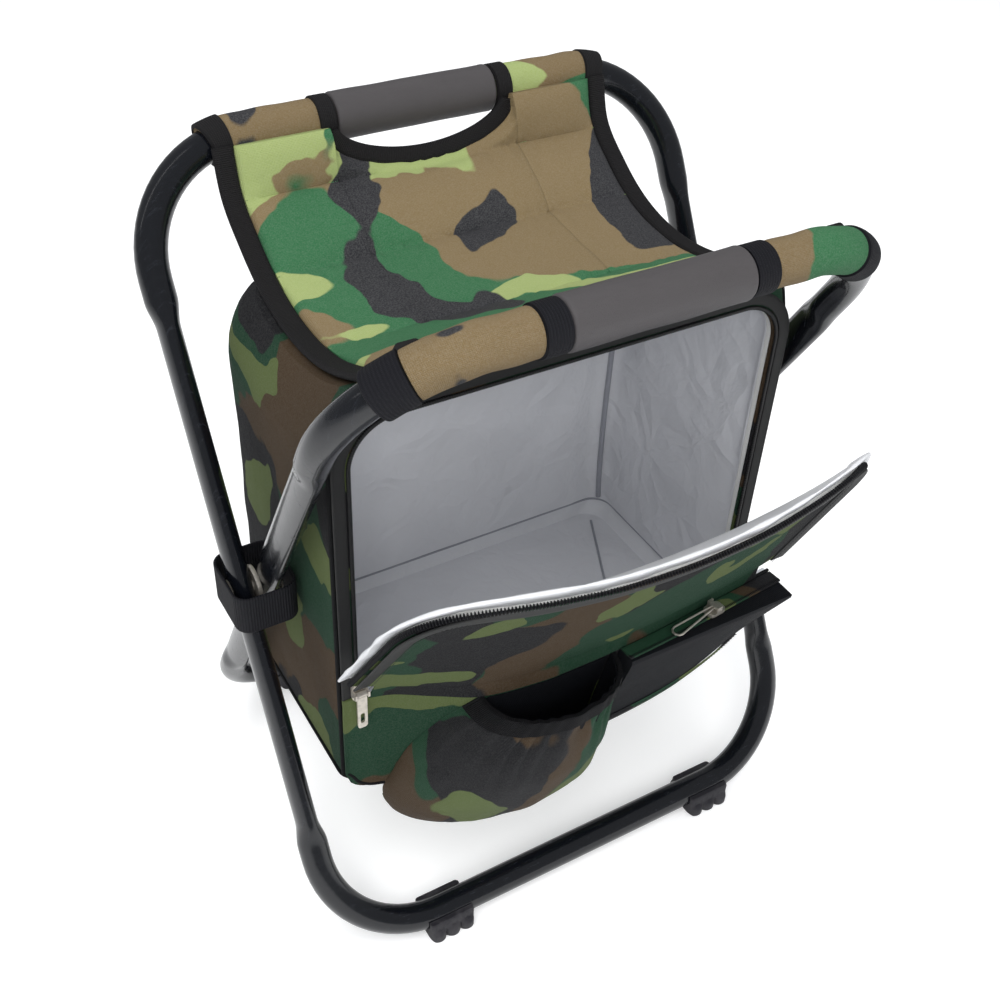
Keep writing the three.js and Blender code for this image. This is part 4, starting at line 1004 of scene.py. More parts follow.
@dataclass
class Feet:
    """Rubber saddles under the floor bars, with three lobes along each side."""

    at: float = 100.0
    length: float = 30.0
    height: float = 16.0
    wall: float = 3.0
    gap: float = 0.3
    lobe: float = 11.0
    lobe_height: float = 8.0
    overhang: float = 3.0
    ends: Table = (0, 0.25, 0.9, 1.6)
    rim: Pairs = ((1.0, 0.0), (0.0, 1.2))
    lobe_steps: Pairs = ((0.0, -1.4), (0.55, -0.2), (0.9, 0.8), (1, 2.0))
    sole_steps: Pairs = ((0.0, 1.4), (0.5, 0.4), (1.6, 0.0))

    def build(self, bench: Workbench, loop: LegLoop, end: str) -> None:
        """Makes the two feet of one loop."""
        for side, sign in SIDES:
            name = f"{end}_{side}_foot"
            made = bench.grid(f"{name}_rubber", self.rings(loop, sign), (False, True), True)
            bench.dress(made, Finishes.RUBBER, loop.body, [name], 50)

    def rings(self, loop: LegLoop, sign: int) -> Points:
        """Cross-sections of one foot along the bar."""
        half, bore, ends = self.length / 2, loop.radius + self.gap, np.array(self.ends)
        xs = [-half + ends[:3], np.linspace(-half + ends[3], half - ends[3], 43), half - ends[2::-1]]
        xs = np.concatenate(xs)
        centres = loop.leaned(loop.bar(sign * self.at + xs, top=False)[0])
        pitch = self.length / 3
        rings = []
        for x, inset, (_, y_bar, level) in zip(xs, np.interp(np.abs(xs), half - ends[::-1], ends), centres):
            near = abs((x + pitch / 2) % pitch - pitch / 2)
            bulge = math.sqrt(max((self.lobe / 2) ** 2 - near**2, 0)) - (self.lobe / 2 - self.overhang)
            bulge, reach = max(bulge, 0.0) - inset * 0.7, bore + self.wall
            outer = [(reach - back - inset, self.height - drop) for back, drop in self.rim]
            lobe = self.lobe_height
            outer += [(reach + bulge * part - inset, lobe - drop) for part, drop in self.lobe_steps]
            outer += [(reach + bulge - back - inset, z) for back, z in self.sole_steps]
            steepest = math.asin(min((self.height - level) / bore, 0.95))
            turns = np.linspace(steepest, -math.pi / 2, len(outer))
            inner = [(bore * math.cos(turn), level + bore * math.sin(turn)) for turn in turns]
            floor_y = math.copysign(loop.below * math.sin(abs(loop.lean)), y_bar)
            ring = []
            for middle, way, line in (
                (floor_y, 1, outer),
                (floor_y, -1, outer[::-1]),
                (y_bar, -1, inner),
                (y_bar, 1, inner[:-1][::-1] + inner[:1]),
            ):
                ring += [(x + sign * self.at, middle + way * y, z) for y, z in line]
            rings.append(ring)
        return np.array(rings)


@dataclass
class PivotHardware:
    """Rivets through both legs and the washers between them."""

    outer: LegLoop
    inner: LegLoop
    rivet: float = 4.0
    washer: float = 12.0
    gap: float = 0.3
    edge: float = 0.3
    dome: Pairs = ((0, 1.4), (3.5, 1.3), (5.6, 1.0), (7.0, 0.5), (7.5, 0.1), (7.2, 0))
    foot: Pairs = ((7.5, 0), (7.5, 0.5), (6.8, 1.1), (5.5, 1.4), (0, 1.4))

    def build(self, bench: Workbench) -> None:
        """Makes both sides."""
        near = self.inner.width / 2 - self.inner.pressed_across / 2 - self.gap
        far = self.outer.width / 2 + self.outer.pressed_across / 2 + self.gap
        middle = (self.inner.width + self.outer.width) / 4
        half = (far - near) / 2 - self.outer.pressed_across - self.gap
        rivet = [(r, far + lift) for r, lift in self.dome]
        rivet += [(self.rivet, far), (self.rivet, near)] + [(r, near - drop) for r, drop in self.foot]
        rim, hole = self.washer - self.edge, self.rivet + self.gap
        ring = [(hole, middle - half), (rim, middle - half), (self.washer, middle), (rim, middle + half)]
        ring.append((hole, middle + half))
        for side, sign in SIDES:
            for part, profile, looped in (("rivet", rivet, False), ("washer", ring, True)):
                r, x = np.array(profile).T[..., None]
                turn = whole_turn(40)
                points = spots(sign * x, r * np.cos(turn), self.outer.pivot_z + r * np.sin(turn))
                made = bench.grid(f"{side}_pivot_{part}_metal", points, (looped, True))
                bench.mend(made)
                bench.dress(made, Finishes.METAL, self.outer.body, [f"{side}_pivot_{part}"])


@dataclass
class BarDressings:
    """Foam grips, cloth sleeves and webbing bands on the top bars."""

    outer: LegLoop
    inner: LegLoop
    gap: float = 0.3
    grip: float = 13.5
    grip_half: float = 50.5
    grip_round: float = 2.0
    sleeve_t: float = 2.9
    sleeve_end: float = 122.0
    band_t: float = 3.7
    band_width: float = 13.5
    edge: float = 0.8
    overlap: float = 0.35
    overlap_at: float = 2.6
    crease_sink: float = 0.28
    crease_depth: float = 0.3
    crease_turns: float = 0.21
    crease_fade: float = 6.0
    rear_sleeve: Pair = (52.0, 124.0)
    rear_turns: tuple[tuple[str, float, float], ...] = (("hole", 51.2, 61.5), ("edge", 112.8, 124.6))
    sides: int = 56

    def build(self, bench: Workbench) -> None:
        """Makes everything on both bars."""
        for loop, end in ((self.inner, "front"), (self.outer, "rear")):
            self.foam(bench, loop, end)
        start = self.grip_half + self.gap
        band_end = start + self.band_width
        last = self.sleeve_end + self.gap
        for side, sign in SIDES:
            for loop, part, low, high in (
                (self.inner, "inner_band", start, band_end),
                (self.inner, "sleeve", band_end + self.gap, self.sleeve_end),
                (self.inner, "outer_band", last, last + self.band_width),
                (self.outer, "sleeve", *self.rear_sleeve),
            ):
                end = "front" if loop is self.inner else "rear"
                self.wrap(bench, loop, f"{end}_{side}_{part}", sign, low, high)
            for part, low, high in self.rear_turns:
                self.ring(bench, f"rear_{side}_{part}_ring", sign, low, high)

    def ring(self, bench: Workbench, name: str, sign: int, start: float, end: float) -> None:
        """Makes a turn of seat binding over a rear sleeve."""
        x = np.concatenate([[start], np.linspace(start + 0.6, end - 0.6, 14), [end]])
        radius = np.full(len(x), self.grip - 0.35)
        radius[[0, -1]] -= 1.3
        rings = self.outer.rings(sign * x, radius, self.sides)
        inside = self.outer.rings(sign * x, np.full(len(x), self.outer.radius + 2.0), self.sides)
        made = bench.grid(f"{name}_binding", np.concatenate([rings, inside[::-1]]), (True, True))
        bench.dress(made, Finishes.BINDING, self.outer.body)

    def foam(self, bench: Workbench, loop: LegLoop, end: str) -> None:
        """Makes one grip, slightly pinched at its ends."""
        inner, outer, half, r = loop.radius + self.gap, self.grip, self.grip_half, self.grip_round
        turn = quarter(6)[1:]
        x = np.concatenate([[-half, -half], -half + r * (1 - np.cos(turn))])
        radius = np.concatenate([[inner, outer - r], outer - r + r * np.sin(turn)])
        middle = np.linspace(-half + 2.5 * r, half - 2.5 * r, 24)
        x = np.concatenate([x, middle, -x[::-1]])
        radius = np.concatenate([radius, np.full(len(middle), outer - 0.1), radius[::-1]])
        made = bench.grid(f"{end}_grip_foam", loop.rings(x, radius, 72), (True, True))
        bench.crumple(made, 0.35, 26, 3.0)
        bench.dress(made, Finishes.GRIP, loop.body, [f"{end}_grip"])

    def wrap(self, bench: Workbench, loop: LegLoop, node: str, sign: int, start: float, end: float) -> None:
        """Makes one tube of webbing or cloth round a bar.

        Args:
            bench: Where it is made.
            loop: The loop whose top bar it goes round.
            node: The CAD node that it stands for, a band or a sleeve.
            sign: 1 on the right and -1 on the left.
            start: Distance of its near end from the middle.
            end: Distance of its far end.
        """
        band = node.endswith("band")
        inner = loop.radius + self.gap
        outer = inner + (self.band_t if band else self.sleeve_t)
        edge = self.edge
        x = np.concatenate([[start, start, start + edge * 0.3], np.linspace(start + edge, end - edge, 40)])
        x = np.concatenate([x, [end - edge * 0.3, end, end]])
        rise = np.array([inner, outer - edge, outer - edge * 0.25])
        radius = np.concatenate([rise, np.full(40, outer), rise[::-1]])
        cloth = (radius > inner + 0.01)[:, None]

        def ripple(at: Points, turn: Points) -> Points:
            """Creases round a cloth sleeve, or the overlap of a band."""
            at = np.abs(at)
            if band:
                over = ease(0.0, 0.5, np.cos(turn - self.overlap_at) - 0.5)
                return np.where(cloth, -self.overlap * over + 0 * at, 0)
            long = np.sin(at * self.crease_turns + 1.3 * np.sin(turn * 2 + sign))
            long = long * np.sin(turn * 3 + at * 0.05)
            fade = np.clip(np.minimum(at - start, end - at) / self.crease_fade, 0, 1)
            return np.where(cloth, -self.crease_sink + self.crease_depth * long * fade, 0)

        made = bench.grid(f"{node}_cloth", loop.rings(sign * x, radius, self.sides, ripple), (True, True))
        bench.dress(made, Finishes.WEBBING if band else Finishes.SLEEVE, loop.body, [node])
        bench.sheet(made, end - start)


class SlungLine:
    """Side view of the slung seat, as a line through its sag points."""

    def __init__(self, knots: Points) -> None:
        """Draws a centripetal Catmull-Rom line through points of Y and Z."""
        ends = (2 * knots[0] - knots[1], 2 * knots[-1] - knots[-2])
        p = np.concatenate([[ends[0]], knots, [ends[1]]])
        t = np.linspace(0, 1, 60, endpoint=False)[:, None]
        drawn = []
        for i in range(1, len(p) - 2):
            gap = [np.linalg.norm(p[i + k] - p[i + k - 1]) ** 0.5 for k in range(3)]
            step = p[i + 1] - p[i]
            before = (p[i] - p[i - 1]) / gap[0] - (p[i + 1] - p[i - 1]) / (gap[0] + gap[1]) + step / gap[1]
            after = step / gap[1] - (p[i + 2] - p[i]) / (gap[1] + gap[2]) + (p[i + 2] - p[i + 1]) / gap[2]
            a, b = before * gap[1], after * gap[1]
            drawn.append(p[i] + a * t + (3 * step - 2 * a - b) * t**2 + (-2 * step + a + b) * t**3)
        self.points = np.concatenate([*drawn, [knots[-1]]])
        steps = np.linalg.norm(np.diff(self.points, axis=0), axis=1)
        self.length = steps.sum()
        self.shares = np.concatenate([[0], np.cumsum(steps)]) / self.length

    def at(self, share: Points) -> Points:
        """Points of Y and Z at shares of the line's length."""
        return np.stack([np.interp(share, self.shares, self.points[:, k]) for k in range(2)], -1)

    def along(self, share: Points) -> Points:
        """Unit tangents at shares of the length."""
        near = 0.002
        share = np.clip(share, near, 1 - near)
        return unit(self.at(share + near) - self.at(share - near))

    def share_at(self, y: Points) -> Points:
        """Share of the length at places along Y."""
        return np.interp(-np.asarray(y), -self.points[:, 0], self.shares)

    def share_down(self, height: Points) -> Points:
        """Share of the length at heights on the way down from the rear bar."""
        down = self.points[: np.argmin(self.points[:, 1]) + 1]
        return np.interp(-height, -down[:, 1], self.shares[: len(down)])

    def clear_of(self, centre: Points, radius: float) -> float:
        """Share nearest to an end at which the line leaves a circle."""
        away = np.linalg.norm(self.points - centre, axis=1) >= radius
        return float(self.shares[away].min() if centre[0] > 0 else self.shares[away].max())

    def on_surface(self, x: Points, share: Points, lift: Points | float) -> Points:
        """Points at distances x from the middle, lifted off the line."""
        at, along = self.at(share), self.along(share)
        return spots(x, at[..., 0] + along[..., 1] * lift, at[..., 1] - along[..., 0] * lift)

    def upwards(self, share: Points) -> Points:
        """Directions square to the line, upwards."""
        along = self.along(share)
        return spots(0, along[..., 1], -along[..., 0])


@dataclass
class Seat:
    """The padded cloth slung between the top bars, with its bindings and hand hole."""

    bars: tuple[Points, Points]
    half: float = 125.0
    sag: float = 63.0
    sag_across: Table = (0.05, 0.09, 0.18, 0.27, 0.36, 0.45, 0.54, 0.63, 0.72, 0.81, 0.89, 0.95)
    sag_down: Table = (-0.04, 0.4, 0.68, 0.87, 0.97, 1, 0.97, 0.88, 0.73, 0.54, 0.29, -0.04)
    pad: float = 6.5
    seam: float = 2.6
    crown: float = 4.2
    pucker: float = 0.8
    pucker_waves: Pair = (0.52, 0.13)
    pucker_run: float = 4.0
    lump: float = 1.0
    lump_size: float = 23.0
    hole_fade: Pair = (4.0, 13.0)
    binding: float = 12.0
    binding_t: float = 4.4
    gap: float = 0.3
    hole_half: float = 52.0
    hole_drop: float = 18.0
    hole_binding: float = 10.0
    hole_margin: Pair = (6.0, 5.5)
    clear_rear: float = 12.5
    clear_bar: float = 12.6
    clear_grip: float = 13.9
    grip_reach: float = 66.0
    under_gap: float = 0.8
    seams: Table = (0.0, 0.12, 0.3, 0.55, 1.0)
    keep: float = 0.075

    def __post_init__(self) -> None:
        """Draws the seat's side view between the bars."""
        rear, down = self.bars[0], np.array(self.sag_down)
        y = rear[0] - np.array(self.sag_across) * (2 * rear[0])
        self.line = SlungLine(np.stack([y, rear[1] - down * self.sag], 1))

    def under(self, y: Points) -> Points:
        """Height of the room under the seat at places along Y."""
        share = self.line.share_at(y)
        return self.line.at(share)[..., 1] + self.pad / 2 / self.line.along(share)[..., 0] - self.under_gap

    def fullness(self, share: Points) -> Points:
        """How full the padding is: 0 at a seam and 1 between two."""
        index = np.clip(np.searchsorted(self.seams, share, side="left"), 1, len(self.seams) - 1)
        low, high = np.take(self.seams, index - 1), np.take(self.seams, index)
        return np.sqrt(np.clip(np.sin(math.pi * np.clip((share - low) / (high - low), 0, 1)), 0, 1))

    def ends(self, x: Points) -> tuple[Points, Points]:
        """Shares at which the padding starts and ends at distances x from the middle."""
        wide, drop = self.hole_half + self.hole_margin[0], self.hole_drop + self.hole_margin[1]
        height = self.bars[0][1] - drop * np.sqrt(np.clip(1 - (x / wide) ** 2, 0, 1))
        start = np.maximum(self.line.share_down(height), self.line.clear_of(self.bars[0], self.clear_rear))
        grip, bar = (self.line.clear_of(self.bars[1], radius) for radius in (self.clear_grip, self.clear_bar))
        return start, np.where(np.abs(x) < self.grip_reach, grip, bar)

    def columns(self) -> Points:
        """Distances from the middle of the padding's columns, closest at the hand hole's ends."""
        wide, edge = self.hole_half + self.hole_margin[0], self.half - self.binding - self.gap
        right = np.concatenate([wide * np.sin(quarter(33)), np.linspace(wide, edge, 26)[1:]])
        return np.concatenate([-right[::-1], right[1:]])

    def build(self, bench: Workbench) -> None:
        """Makes the padding, bindings and stitches."""
        x = self.columns()
        start, end = self.ends(x)
        share = start[:, None] + (end - start)[:, None] * np.linspace(0, 1, 170)
        across = (x / (self.half - self.binding - self.gap))[:, None]
        edge = np.sqrt(np.clip(1 - np.abs(across) ** 8, 0, 1))
        near_start = ease(*self.hole_fade, (share - start[:, None]) * self.line.length)
        full = self.fullness(share) * edge * np.where(start[:, None] > 0.02, near_start, 1)
        from_seam = np.min([np.abs(share - place) for place in self.seams[1:-1]], axis=0) * self.line.length
        quick, slow = self.pucker_waves
        pucker = np.sin(x[:, None] * quick + 2 * np.sin(x[:, None] * slow))
        pucker = pucker * np.exp(-from_seam / self.pucker_run) * np.clip(from_seam / 2, 0, 1)
        size = self.lump_size
        rough = [[noise.noise(Vector((a / size, b * 11, 4.0))) for b in row[::2]] for a, row in zip(x, share)]
        rough = np.repeat(np.array(rough), 2, axis=1)[:, : share.shape[1]]
        rough = (rough + np.roll(rough, 1, 1)) / 2
        flat = (self.seam + (self.pad - self.seam) * full) / 2
        top = flat + self.crown * full + self.pucker * pucker * edge + self.lump * rough * full
        upper = self.line.on_surface(x[:, None], share, top)
        lower = self.line.on_surface(x[:, None], share, -flat)
        panel = bench.grid("seat_padding", np.concatenate([upper, lower[:, ::-1]], 1), (False, True), True)
        self.hang(bench.dress(panel, Finishes.SEAT, Bodies.OUTER, ["seat_panel"], 60))
        self.edges(bench)
        self.stitches(bench)

    def hang(self, piece: Thing) -> None:
        """Gives a piece of the seat its own copy of its mesh."""
        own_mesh(piece)

    def edges(self, bench: Workbench) -> None:
        """Makes the side bindings and the hand hole's binding."""
        first, last = (self.line.clear_of(bar, self.clear_bar) for bar in self.bars)
        share = np.linspace(first, last, 150)
        lines = []
        for side, sign in SIDES:
            path = self.line.on_surface(sign * (self.half - self.binding / 2), share, 0.0)
            lines.append((f"seat_{side}_binding", path, self.line.upwards(share), self.binding))
        lines.append(("hand_hole_binding", *self.hole_line(self.hole_binding / 2), self.hole_binding))
        for node, path, facing, width in lines:
            tape = bench.sweep(f"{node}_tape", path, facing, strip_profile(width, self.binding_t))
            self.hang(bench.dress(tape, Finishes.BINDING, Bodies.OUTER, [node], 60))

    def hole_line(self, margin: float) -> tuple[Points, Points]:
        """A line round the hand hole at a margin, with its facing."""
        turn = np.linspace(-1, 1, 90) * math.radians(84)
        height = self.bars[0][1] - (self.hole_drop + margin * 0.87) * np.cos(turn)
        share = self.line.share_down(height)
        x = (self.hole_half + margin) * np.sin(turn)
        return self.line.on_surface(x, share, 0.0), self.line.upwards(share)

    def stitches(self, bench: Workbench) -> None:
        """Sews the seams, bindings and hand hole."""
        row = BeadLine(bench, spacing=2.9, size=(2.1, 0.5, 0.4), jitter=0.12)
        tuft = BeadLine(bench, spacing=0.8, size=(2.6, 0.6, 0.5), jitter=0.9)
        lines = []
        wide, hole = self.half - self.binding - 1, self.hole_half + 7
        for index, place in enumerate(self.seams[1:-1]):
            share = np.full(60, place)
            facing = self.line.upwards(share)
            runs = ((-wide, -hole), (hole, wide)) if index == 0 else ((-wide, wide),)
            for part, (low, high) in enumerate(runs):
                path = self.line.on_surface(np.linspace(low, high, 60), share, self.seam / 2 + 0.1)
                lines.append((row, f"seat_seam_{index}_{part}", path, facing, Finishes.GREEN_THREAD))
                if index == 0:
                    near = (path[-7:] if part == 0 else path[:7]) + (0, 0, 0.5)
                    lines.append((tuft, f"seat_thread_end_{part}", near, facing[:7], Finishes.TUFT))
        share = np.linspace(*(self.line.clear_of(bar, 14) for bar in self.bars), 120)
        for side, sign in SIDES:
            path = self.line.on_surface(sign * (self.half - self.binding + 2), share, self.binding_t / 2)
            facing = self.line.upwards(share)
            lines.append((row, f"seat_{side}_binding_stitches", path, facing, Finishes.SEAT_THREAD))
        path, facing = self.hole_line(self.hole_binding - 2)
        path = path + facing * self.binding_t / 2
        lines.append((row, "hand_hole_stitches", path, facing, Finishes.SEAT_THREAD))
        for beads, name, path, facing, finish in lines:
            self.hang(beads.along(name, path, facing, finish, Bodies.OUTER))


@dataclass
class CoolerBag:
    """The insulated bag between the legs: skin, foam and liner with an open front."""

    roof: Callable[[Points], Points]
    half: float = 142.0
    top_half: float = 125.0
    bottom: float = 101.0
    front: float = -70.0
    rear: float = 86.0
    edge_r: float = 8.0
    rear_r: float = 22.0
    opening_half: float = 131.0
    opening_sill: float = 110.0
    opening_top: float = 364.0
    opening_r: float = 26.0
    zip_low: float = 179.3
    skin: float = 7.0
    rises: Table = (0, 0.035, 0.35, 0.68, 0.84, 0.94, 1)
    fullness: Table = (0, 1, 1, 1, 0.97, 0.65, 0.2)
    depths: Table = (0.9, 0.95, 1, 0.99, 0.96, 0.89, 0.79)
    spans: int = 20
    slack: float = 1.5
    slack_front: Pair = (-62.0, -40.0)
    slack_low: Pair = (108.0, 130.0)
    slack_top: Pair = (300.0, 330.0)
    slack_side: Pair = (105.0, 128.0)
    slack_rear: Pair = (46.0, 66.0)

    def outline(self, rise: float, inset: float) -> Points:
        """The right-hand outline of the bag at a share of its height, from the front to the rear corner."""
        full, deep = (float(read_table(self.rises, table, rise)) for table in (self.fullness, self.depths))
        lowest = self.half - self.edge_r if rise < self.rises[1] else self.top_half
        half = lowest + (self.half - lowest) * full - inset
        front, rear = self.front + inset, self.rear * deep - inset
        small, large = max(self.edge_r - inset, 0.3), max(self.rear_r - inset, 0.3)
        turn, bend = quarter(7), quarter(11)
        side = np.linspace(front + small, rear - large, 16)[1:-1]
        first = np.stack([half - small + small * np.sin(turn), front + small - small * np.cos(turn)], 1)
        last = np.stack([half - large + large * np.cos(bend), rear - large + large * np.sin(bend)], 1)
        return np.concatenate([first, np.stack([np.full(len(side), half), side], 1), last])

    def height(self, y: Points, rise: Points, inset: float) -> Points:
        """Height of the bag's form at a place along Y and a share of its rise."""
        low = self.bottom + inset
        return low + (self.roof(y) - inset - low) * rise

    def form(self, bench: Workbench, name: str, inset: float) -> Thing:
        """The bag's closed form, drawn in by an inset."""
        rises = np.concatenate([[0, 0.008, 0.02, 0.035], np.linspace(0.06, 0.9, 26), [0.93, 0.96, 0.985, 1]])
        share = 1 - 2 * np.arange(1, self.spans) / self.spans
        levels = []
        for rise in rises:
            right = self.outline(rise, inset)
            rear = np.stack(np.broadcast_arrays(right[-1, 0] * share, right[-1, 1]), 1)
            front = np.stack(np.broadcast_arrays(-right[0, 0] * share, right[0, 1]), 1)
            ring = np.concatenate([right, rear, right[::-1] * (-1, 1), front])
            levels.append(np.column_stack([ring, self.height(ring[:, 1], rise, inset)]))
        body = bench.grid(name, np.array(levels), (False, True))
        for rise in (0, 1):
            right = self.outline(rise, inset)
            y = right[:, 1:]
            across = right[:, :1] * np.linspace(1, -1, self.spans + 1)
            cap = bench.grid("cap", spots(across, y, self.height(y, rise, inset)))
            graph = bmesh.new()
            graph.from_mesh(body.data)
            graph.from_mesh(cap.data)
            graph.to_mesh(body.data)
            graph.free()
            bpy.data.objects.remove(cap)
        bench.mend(body, 2e-6)
        return body

    def opening(self, bench: Workbench, reach: Pair) -> Thing:
        """A block of the opening's outline between two places along Y."""
        line = self.opening_line(0.0, self.opening_sill)
        rings = np.stack([line * (1, 0, 1) + (0, y, 0) for y in reach])
        count = rings.shape[1]
        faces = [[i, (i + 1) % count, count + (i + 1) % count, count + i] for i in range(count)]
        faces += [list(range(count))[::-1], list(range(count, 2 * count))]
        made = bench.raw("opening", rings, faces)
        bench.mend(made)
        return made

    def opening_line(self, margin: float, low: float, lift: float = 0.0) -> Points:
        """A line round the opening, outside it by a margin and lifted off the bag's front."""
        half, top, radius = self.opening_half + margin, self.opening_top + margin, self.opening_r + margin
        line = arch(half, top, radius, low, (24, 16, 30))
        return spots(line[:, 0], self.front - 0.3 - lift, line[:, 1])

    def build(self, bench: Workbench) -> None:
        """Makes the three layers, the zip round the opening and the trimmings."""
        for node, inset, thickness, finish in (
            ("bag_shell", 0.0, 1.8, Finishes.BAG),
            ("bag_foam", 2.1, 3.4, Finishes.FOAM),
            ("bag_liner", 5.8, 1.2, Finishes.LINER),
        ):
            layer = self.form(bench, f"{node}_layer", inset)
            inside = self.form(bench, "inside", inset + thickness)
            bench.cut(layer, inside, self.opening(bench, (self.front - 6, self.front + 14)))
            bench.box_map(layer)
            self.slacken(layer)
            bench.dress(layer, finish, Bodies.BAG, [node], 40)
            if finish is Finishes.FOAM:
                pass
            else:
                bench.sheet(layer, 2 * (self.half + self.rear))
        self.zip(bench)
        self.piping(bench)
        self.welds(bench)

    def corner_line(self, sign: int, point: int, rises: Points, margin: float, skin: float) -> Points:
        """A line up one of the bag's corners.

        Args:
            sign: 1 on the right and -1 on the left.
            point: Which point of the outline it runs through.
            rises: Shares of the bag's height.
            margin: How far inside the bag's form it runs.
            skin: How far below the roof and above the floor it ends.

        Returns:
            Points of the line.
        """
        corner = np.array([self.outline(rise, margin)[point] for rise in rises])
        return spots(sign * corner[:, 0], corner[:, 1], self.height(corner[:, 1], rises, skin))

    def welds(self, bench: Workbench) -> None:
        """Makes the raised welds of the lining: up the rear corners, round the floor and across it, in a
        darker grey that is painted shade along these creases.
        """
        rises, floor = np.linspace(0.05, 0.97, 50), self.bottom + self.skin
        lines = []
        for side, sign in SIDES:
            path = self.corner_line(sign, 26, rises, self.skin + 2.2, self.skin)
            lines.append((f"{side}_rear_weld", path, (-sign * 0.7, -0.7, 0.0), 1.9))
        ring = mirrored(self.outline(0.03, self.skin + 0.4)[8:])
        for name, rise, radius in (("floor_weld", 1.6, 1.4), ("wall_weld", 9.5, 0.8)):
            lines.append((name, spots(ring[:, 0], ring[:, 1], floor + rise), UPWARDS, radius))
        fold = np.linspace((118.0, 60.0, floor + 0.4), (62.0, -62.0, floor + 0.4), 30)
        lines.append(("floor_fold", fold, UPWARDS, 0.9))
        for name, path, facing, radius in lines:
            # the welds' darker grey is painted shade along the corners, the floor's edge and the floor fold
            bench.cord(name, path, facing, radius, Finishes.WELD_SHADE, 8)

    def slacken(self, layer: Thing) -> None:
        """Lets the walls of a layer sink in between the seams, the same for all layers."""
        for vertex in layer.data.vertices:
            x, y, z = (vertex.co / MILLIMETRE)[:]
            y -= SHIFT_Y
            wide, fine = Vector((x / 60, y / 38, z / 46)), Vector((x / 24, y / 20, z / 22 + 9))
            hollow = self.slack * (1.0 + noise.noise(wide) + 0.5 * noise.noise(fine)) * MILLIMETRE
            mask = ease(*self.slack_front, y) * (1 - ease(*self.slack_top, z)) * ease(*self.slack_low, z)
            mask, side = float(mask), float(ease(*self.slack_side, abs(x)))
            back = float(ease(*self.slack_rear, y)) * (1 - side)
            vertex.co.x -= math.copysign(hollow * mask * side, x)
            vertex.co.y -= hollow * mask * back

    def zip(self, bench: Workbench) -> None:
        """Makes the tape and coil round the opening."""
        coil_line = self.opening_line(1.5, self.zip_low, 1.0)
        for name, node, path, profile in (
            ("tape", "tape", self.opening_line(7.05, self.zip_low, 0.6), strip_profile(7.5, 1.2)),
            ("cord", "coil", coil_line, strip_profile(2.0, 1.3, 0.49)),
        ):
            made = bench.sweep(f"opening_zip_{name}", path, FORWARDS, profile)
            bench.dress(made, Finishes.TAPE, Bodies.BAG, [f"opening_{node}"], 60)
        teeth = BeadLine(bench, Bead.TOOTH, 1.35, (1.0, 2.9, 1.7), 0.0)
        teeth.along("opening_zip_teeth", coil_line, FORWARDS, Finishes.COIL, Bodies.BAG)
        path = self.opening_line(9.6, self.zip_low, 1.25)
        BeadLine(bench).along("opening_tape_stitches", path, FORWARDS, Finishes.BAG_THREAD, Bodies.BAG)

    def piping(self, bench: Workbench) -> None:
        """Makes the corded edges down the front corners and round the bottom."""
        for side, sign in SIDES:
            path = self.corner_line(sign, 4, np.linspace(0.03, 0.97, 60), -0.2, 0)
            bench.cord(f"{side}_front_piping", path, (sign * 0.7, -0.7, 0.0), 1.5, Finishes.PIPING)
        ring = mirrored(self.outline(0.03, -0.1))
        path = spots(ring[:, 0], ring[:, 1], self.bottom + 7.5)
        bench.cord("bottom_piping", path, UPWARDS, 1.5, Finishes.PIPING)


